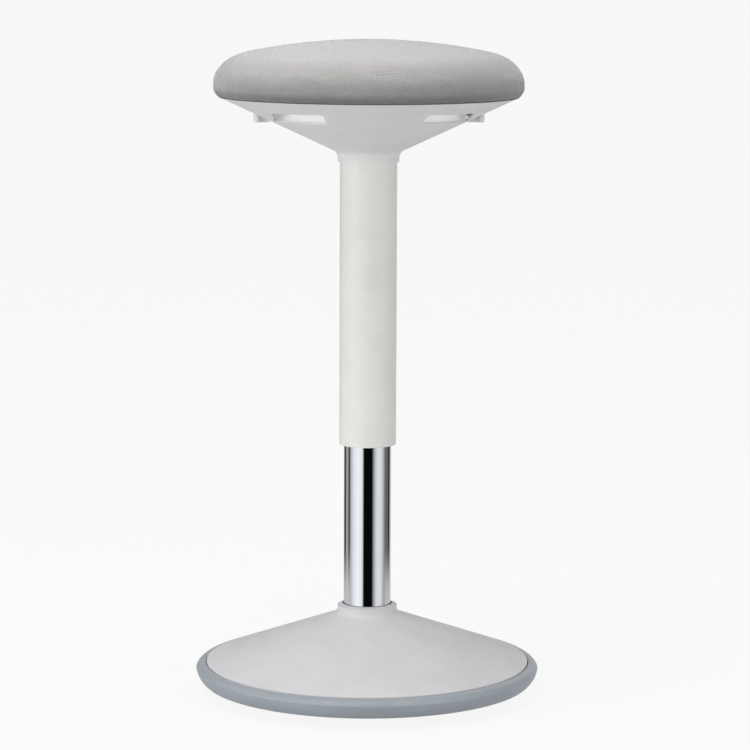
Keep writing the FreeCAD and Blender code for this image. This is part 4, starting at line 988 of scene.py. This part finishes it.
@dataclass
class Studio:
    """Camera, floor, lamps and world. Lengths are metres, turns are degrees and the focal length is mm."""

    focal: float = 150.5
    sensor: float = 36.0
    sight: float = 1000.0
    away: float = 3.2735
    height: float = 0.8058
    turned: float = 3.4
    pitch: float = 8.107
    aim_right: float = 0.131
    lean: float = 0.21
    backdrop: float = 1.0
    floor_reach: float = 200.0
    floor_albedo: float = 0.68
    floor_glow: float = 0.9
    plain_light: float = 0.50
    side_from: float = 1.35
    side_to: float = 1.75
    low_from: float = 0.194
    low_to: float = 0.211
    low_share: float = 0.9
    low_colour: Colour = (0.60, 0.62, 0.63)

    def build(self) -> None:
        """Make the whole studio."""
        bpy.context.scene.view_settings.view_transform = "Standard"
        self._camera()
        self._floor()
        for lamp in LAMPS:
            lamp.build()
        self._world()

    def _camera(self) -> None:
        """Stand the camera in front, looking down a little."""
        data = bpy.data.cameras.new("camera")
        data.lens = self.focal
        data.sensor_width = self.sensor
        data.clip_end = self.sight
        camera = bpy.data.objects.new("camera", data)
        bpy.context.scene.collection.objects.link(camera)
        stand = Matrix.Rotation(math.radians(-self.turned), 4, "Z") @ Vector((0, -self.away, self.height))
        turn = (Matrix.Rotation(math.radians(-self.turned - self.aim_right), 4, "Z")
                @ Matrix.Rotation(math.radians(90 - self.pitch), 4, "X")
                @ Matrix.Rotation(math.radians(self.lean), 4, "Z"))
        camera.matrix_world = Matrix.Translation(stand) @ turn
        bpy.context.scene.camera = camera

    def _floor(self) -> None:
        """A large pale floor that shows as the backdrop's white and keeps the stool's shadow."""
        points = self.floor_reach * np.array([[-1, -1, 0], [1, -1, 0], [1, 1, 0], [-1, 1, 0]], float)
        mesh = bpy.data.meshes.new("floor")
        mesh.from_pydata(points.tolist(), [], [[0, 1, 2, 3]])
        material = bpy.data.materials.new("floor_white")
        material.use_nodes = True
        wiring = Wiring(material.node_tree)
        shader = material.node_tree.nodes["Principled BSDF"]
        shader.inputs["Base Color"].default_value = (*(self.floor_albedo,) * 3, 1)
        shader.inputs["Roughness"].default_value = 0.9
        shader.inputs["Specular IOR Level"].default_value = 0.0
        path = wiring.add("LightPath")
        seen = self._seen(wiring, path)
        glow = wiring.add("Emission", {"Color": (1, 1, 1, 1), "Strength": self.backdrop})
        share = wiring.math("MULTIPLY", seen, self.floor_glow)
        both = wiring.add("MixShader", {0: share, 1: shader.outputs[0], 2: glow.outputs[0]})
        output = material.node_tree.nodes["Material Output"]
        material.node_tree.links.new(both.outputs[0], output.inputs["Surface"])
        mesh.materials.append(material)
        floor = bpy.data.objects.new("floor", mesh)
        floor.visible_glossy = False
        bpy.context.scene.collection.objects.link(floor)

    @staticmethod
    def _seen(wiring: Wiring, path: bpy.types.Node) -> Socket:
        """One where the camera sees the surface, directly or through glass."""
        camera, glass = path.outputs["Is Camera Ray"], path.outputs["Is Transmission Ray"]
        return wiring.math("ADD", camera, glass, clamp=True)

    def _world(self) -> None:
        """White behind everything, plain light for matt surfaces, and dark and bright panels for metal."""
        world = bpy.data.worlds.new("studio")
        bpy.context.scene.world = world
        world.use_nodes = True
        tree = world.node_tree
        tree.nodes.clear()
        wiring = Wiring(tree)
        path = wiring.add("LightPath")
        direction = wiring.add("TexCoord").outputs["Generated"]
        parts = wiring.add("SeparateXYZ", {0: direction})
        forward = wiring.math("MULTIPLY", parts.outputs["Y"], -1.0)
        round_about = wiring.math("ARCTAN2", parts.outputs["X"], forward)
        panels = wiring.add("ValToRGB", {0: wiring.math("MULTIPLY_ADD", round_about, 0.5 / math.pi, 0.5)})
        beside = wiring.spread(wiring.math("ABSOLUTE", round_about), self.side_from, self.side_to)
        low = wiring.spread(wiring.math("MULTIPLY", parts.outputs["Z"], -1.0), self.low_from, self.low_to)
        faded = wiring.math("MULTIPLY", wiring.math("MULTIPLY", beside, low), self.low_share)
        shown = wiring.blend(faded, panels.outputs[0], self.low_colour)
        ramp = panels.color_ramp
        ramp.interpolation = "LINEAR"
        stops = self.panel_stops()
        while len(ramp.elements) < len(stops):
            ramp.elements.new(0.5)
        for element, (angle, level) in zip(ramp.elements, stops):
            element.position = (angle + 180) / 360
            element.color = (*level, 1)
        plain = wiring.add("Background", {"Color": (1, 1, 1, 1), "Strength": self.plain_light})
        mirrored = wiring.add("Background", {"Color": shown, "Strength": 1.0})
        white = wiring.add("Background", {"Color": (1, 1, 1, 1), "Strength": self.backdrop})
        first = wiring.add("MixShader", {0: path.outputs["Is Glossy Ray"], 1: plain.outputs[0],
                                         2: mirrored.outputs[0]})
        last = wiring.add("MixShader", {0: self._seen(wiring, path), 1: first.outputs[0],
                                        2: white.outputs[0]})
        wiring.add("OutputWorld", {"Surface": last.outputs[0]})

    @staticmethod
    def panel_stops() -> list[tuple[float, Colour]]:
        """What the metal sees round the studio: angle from the front, to the right, and its level."""
        plain, cold, warm = (1.0, 1.0, 1.0), (0.92, 0.98, 1.07), (1.04, 1.0, 0.95)
        rows = [(-180, 0.5, plain), (-160, 0.22, plain), (-146, 0.03, plain), (-139, 0.03, warm),
                (-127, 0.42, warm), (-116, 0.40, warm), (-108, 0.05, plain), (-102, 0.05, cold),
                (-93, 0.52, cold), (-75, 0.88, cold), (-52, 1.02, plain), (-33, 0.92, plain),
                (-26, 0.62, cold), (-22, 0.02, plain), (-19, 0.003, plain),
                (19, 0.003, plain), (23, 0.15, cold), (31, 0.48, cold), (43, 0.78, plain), (62, 0.82, plain),
                (76, 0.62, cold), (88, 0.26, cold), (98, 0.12, cold), (108, 0.16, plain), (116, 0.10, plain),
                (122, 0.012, plain), (128, 0.02, plain), (140, 0.4, plain), (160, 0.8, plain),
                (180, 0.5, plain)]
        return [(angle, tuple(level * part for part in tint)) for angle, level, tint in rows]


def main() -> None:
    """Build the stool's looks and its studio."""
    logging.basicConfig(level=logging.INFO, format="%(message)s")
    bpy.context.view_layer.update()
    pieces = [RockingBase("rocking base", BASE), Assembly("gas lift", LIFT),
              Assembly("seat shell and board", SEAT), Assembly("release levers", LEVERS), SeatPad(),
              DarkSeamRing(), Studio()]
    for piece in pieces:
        piece.build()
        log.info("%s built", type(piece).__name__)


if __name__ == "__main__":
    main()
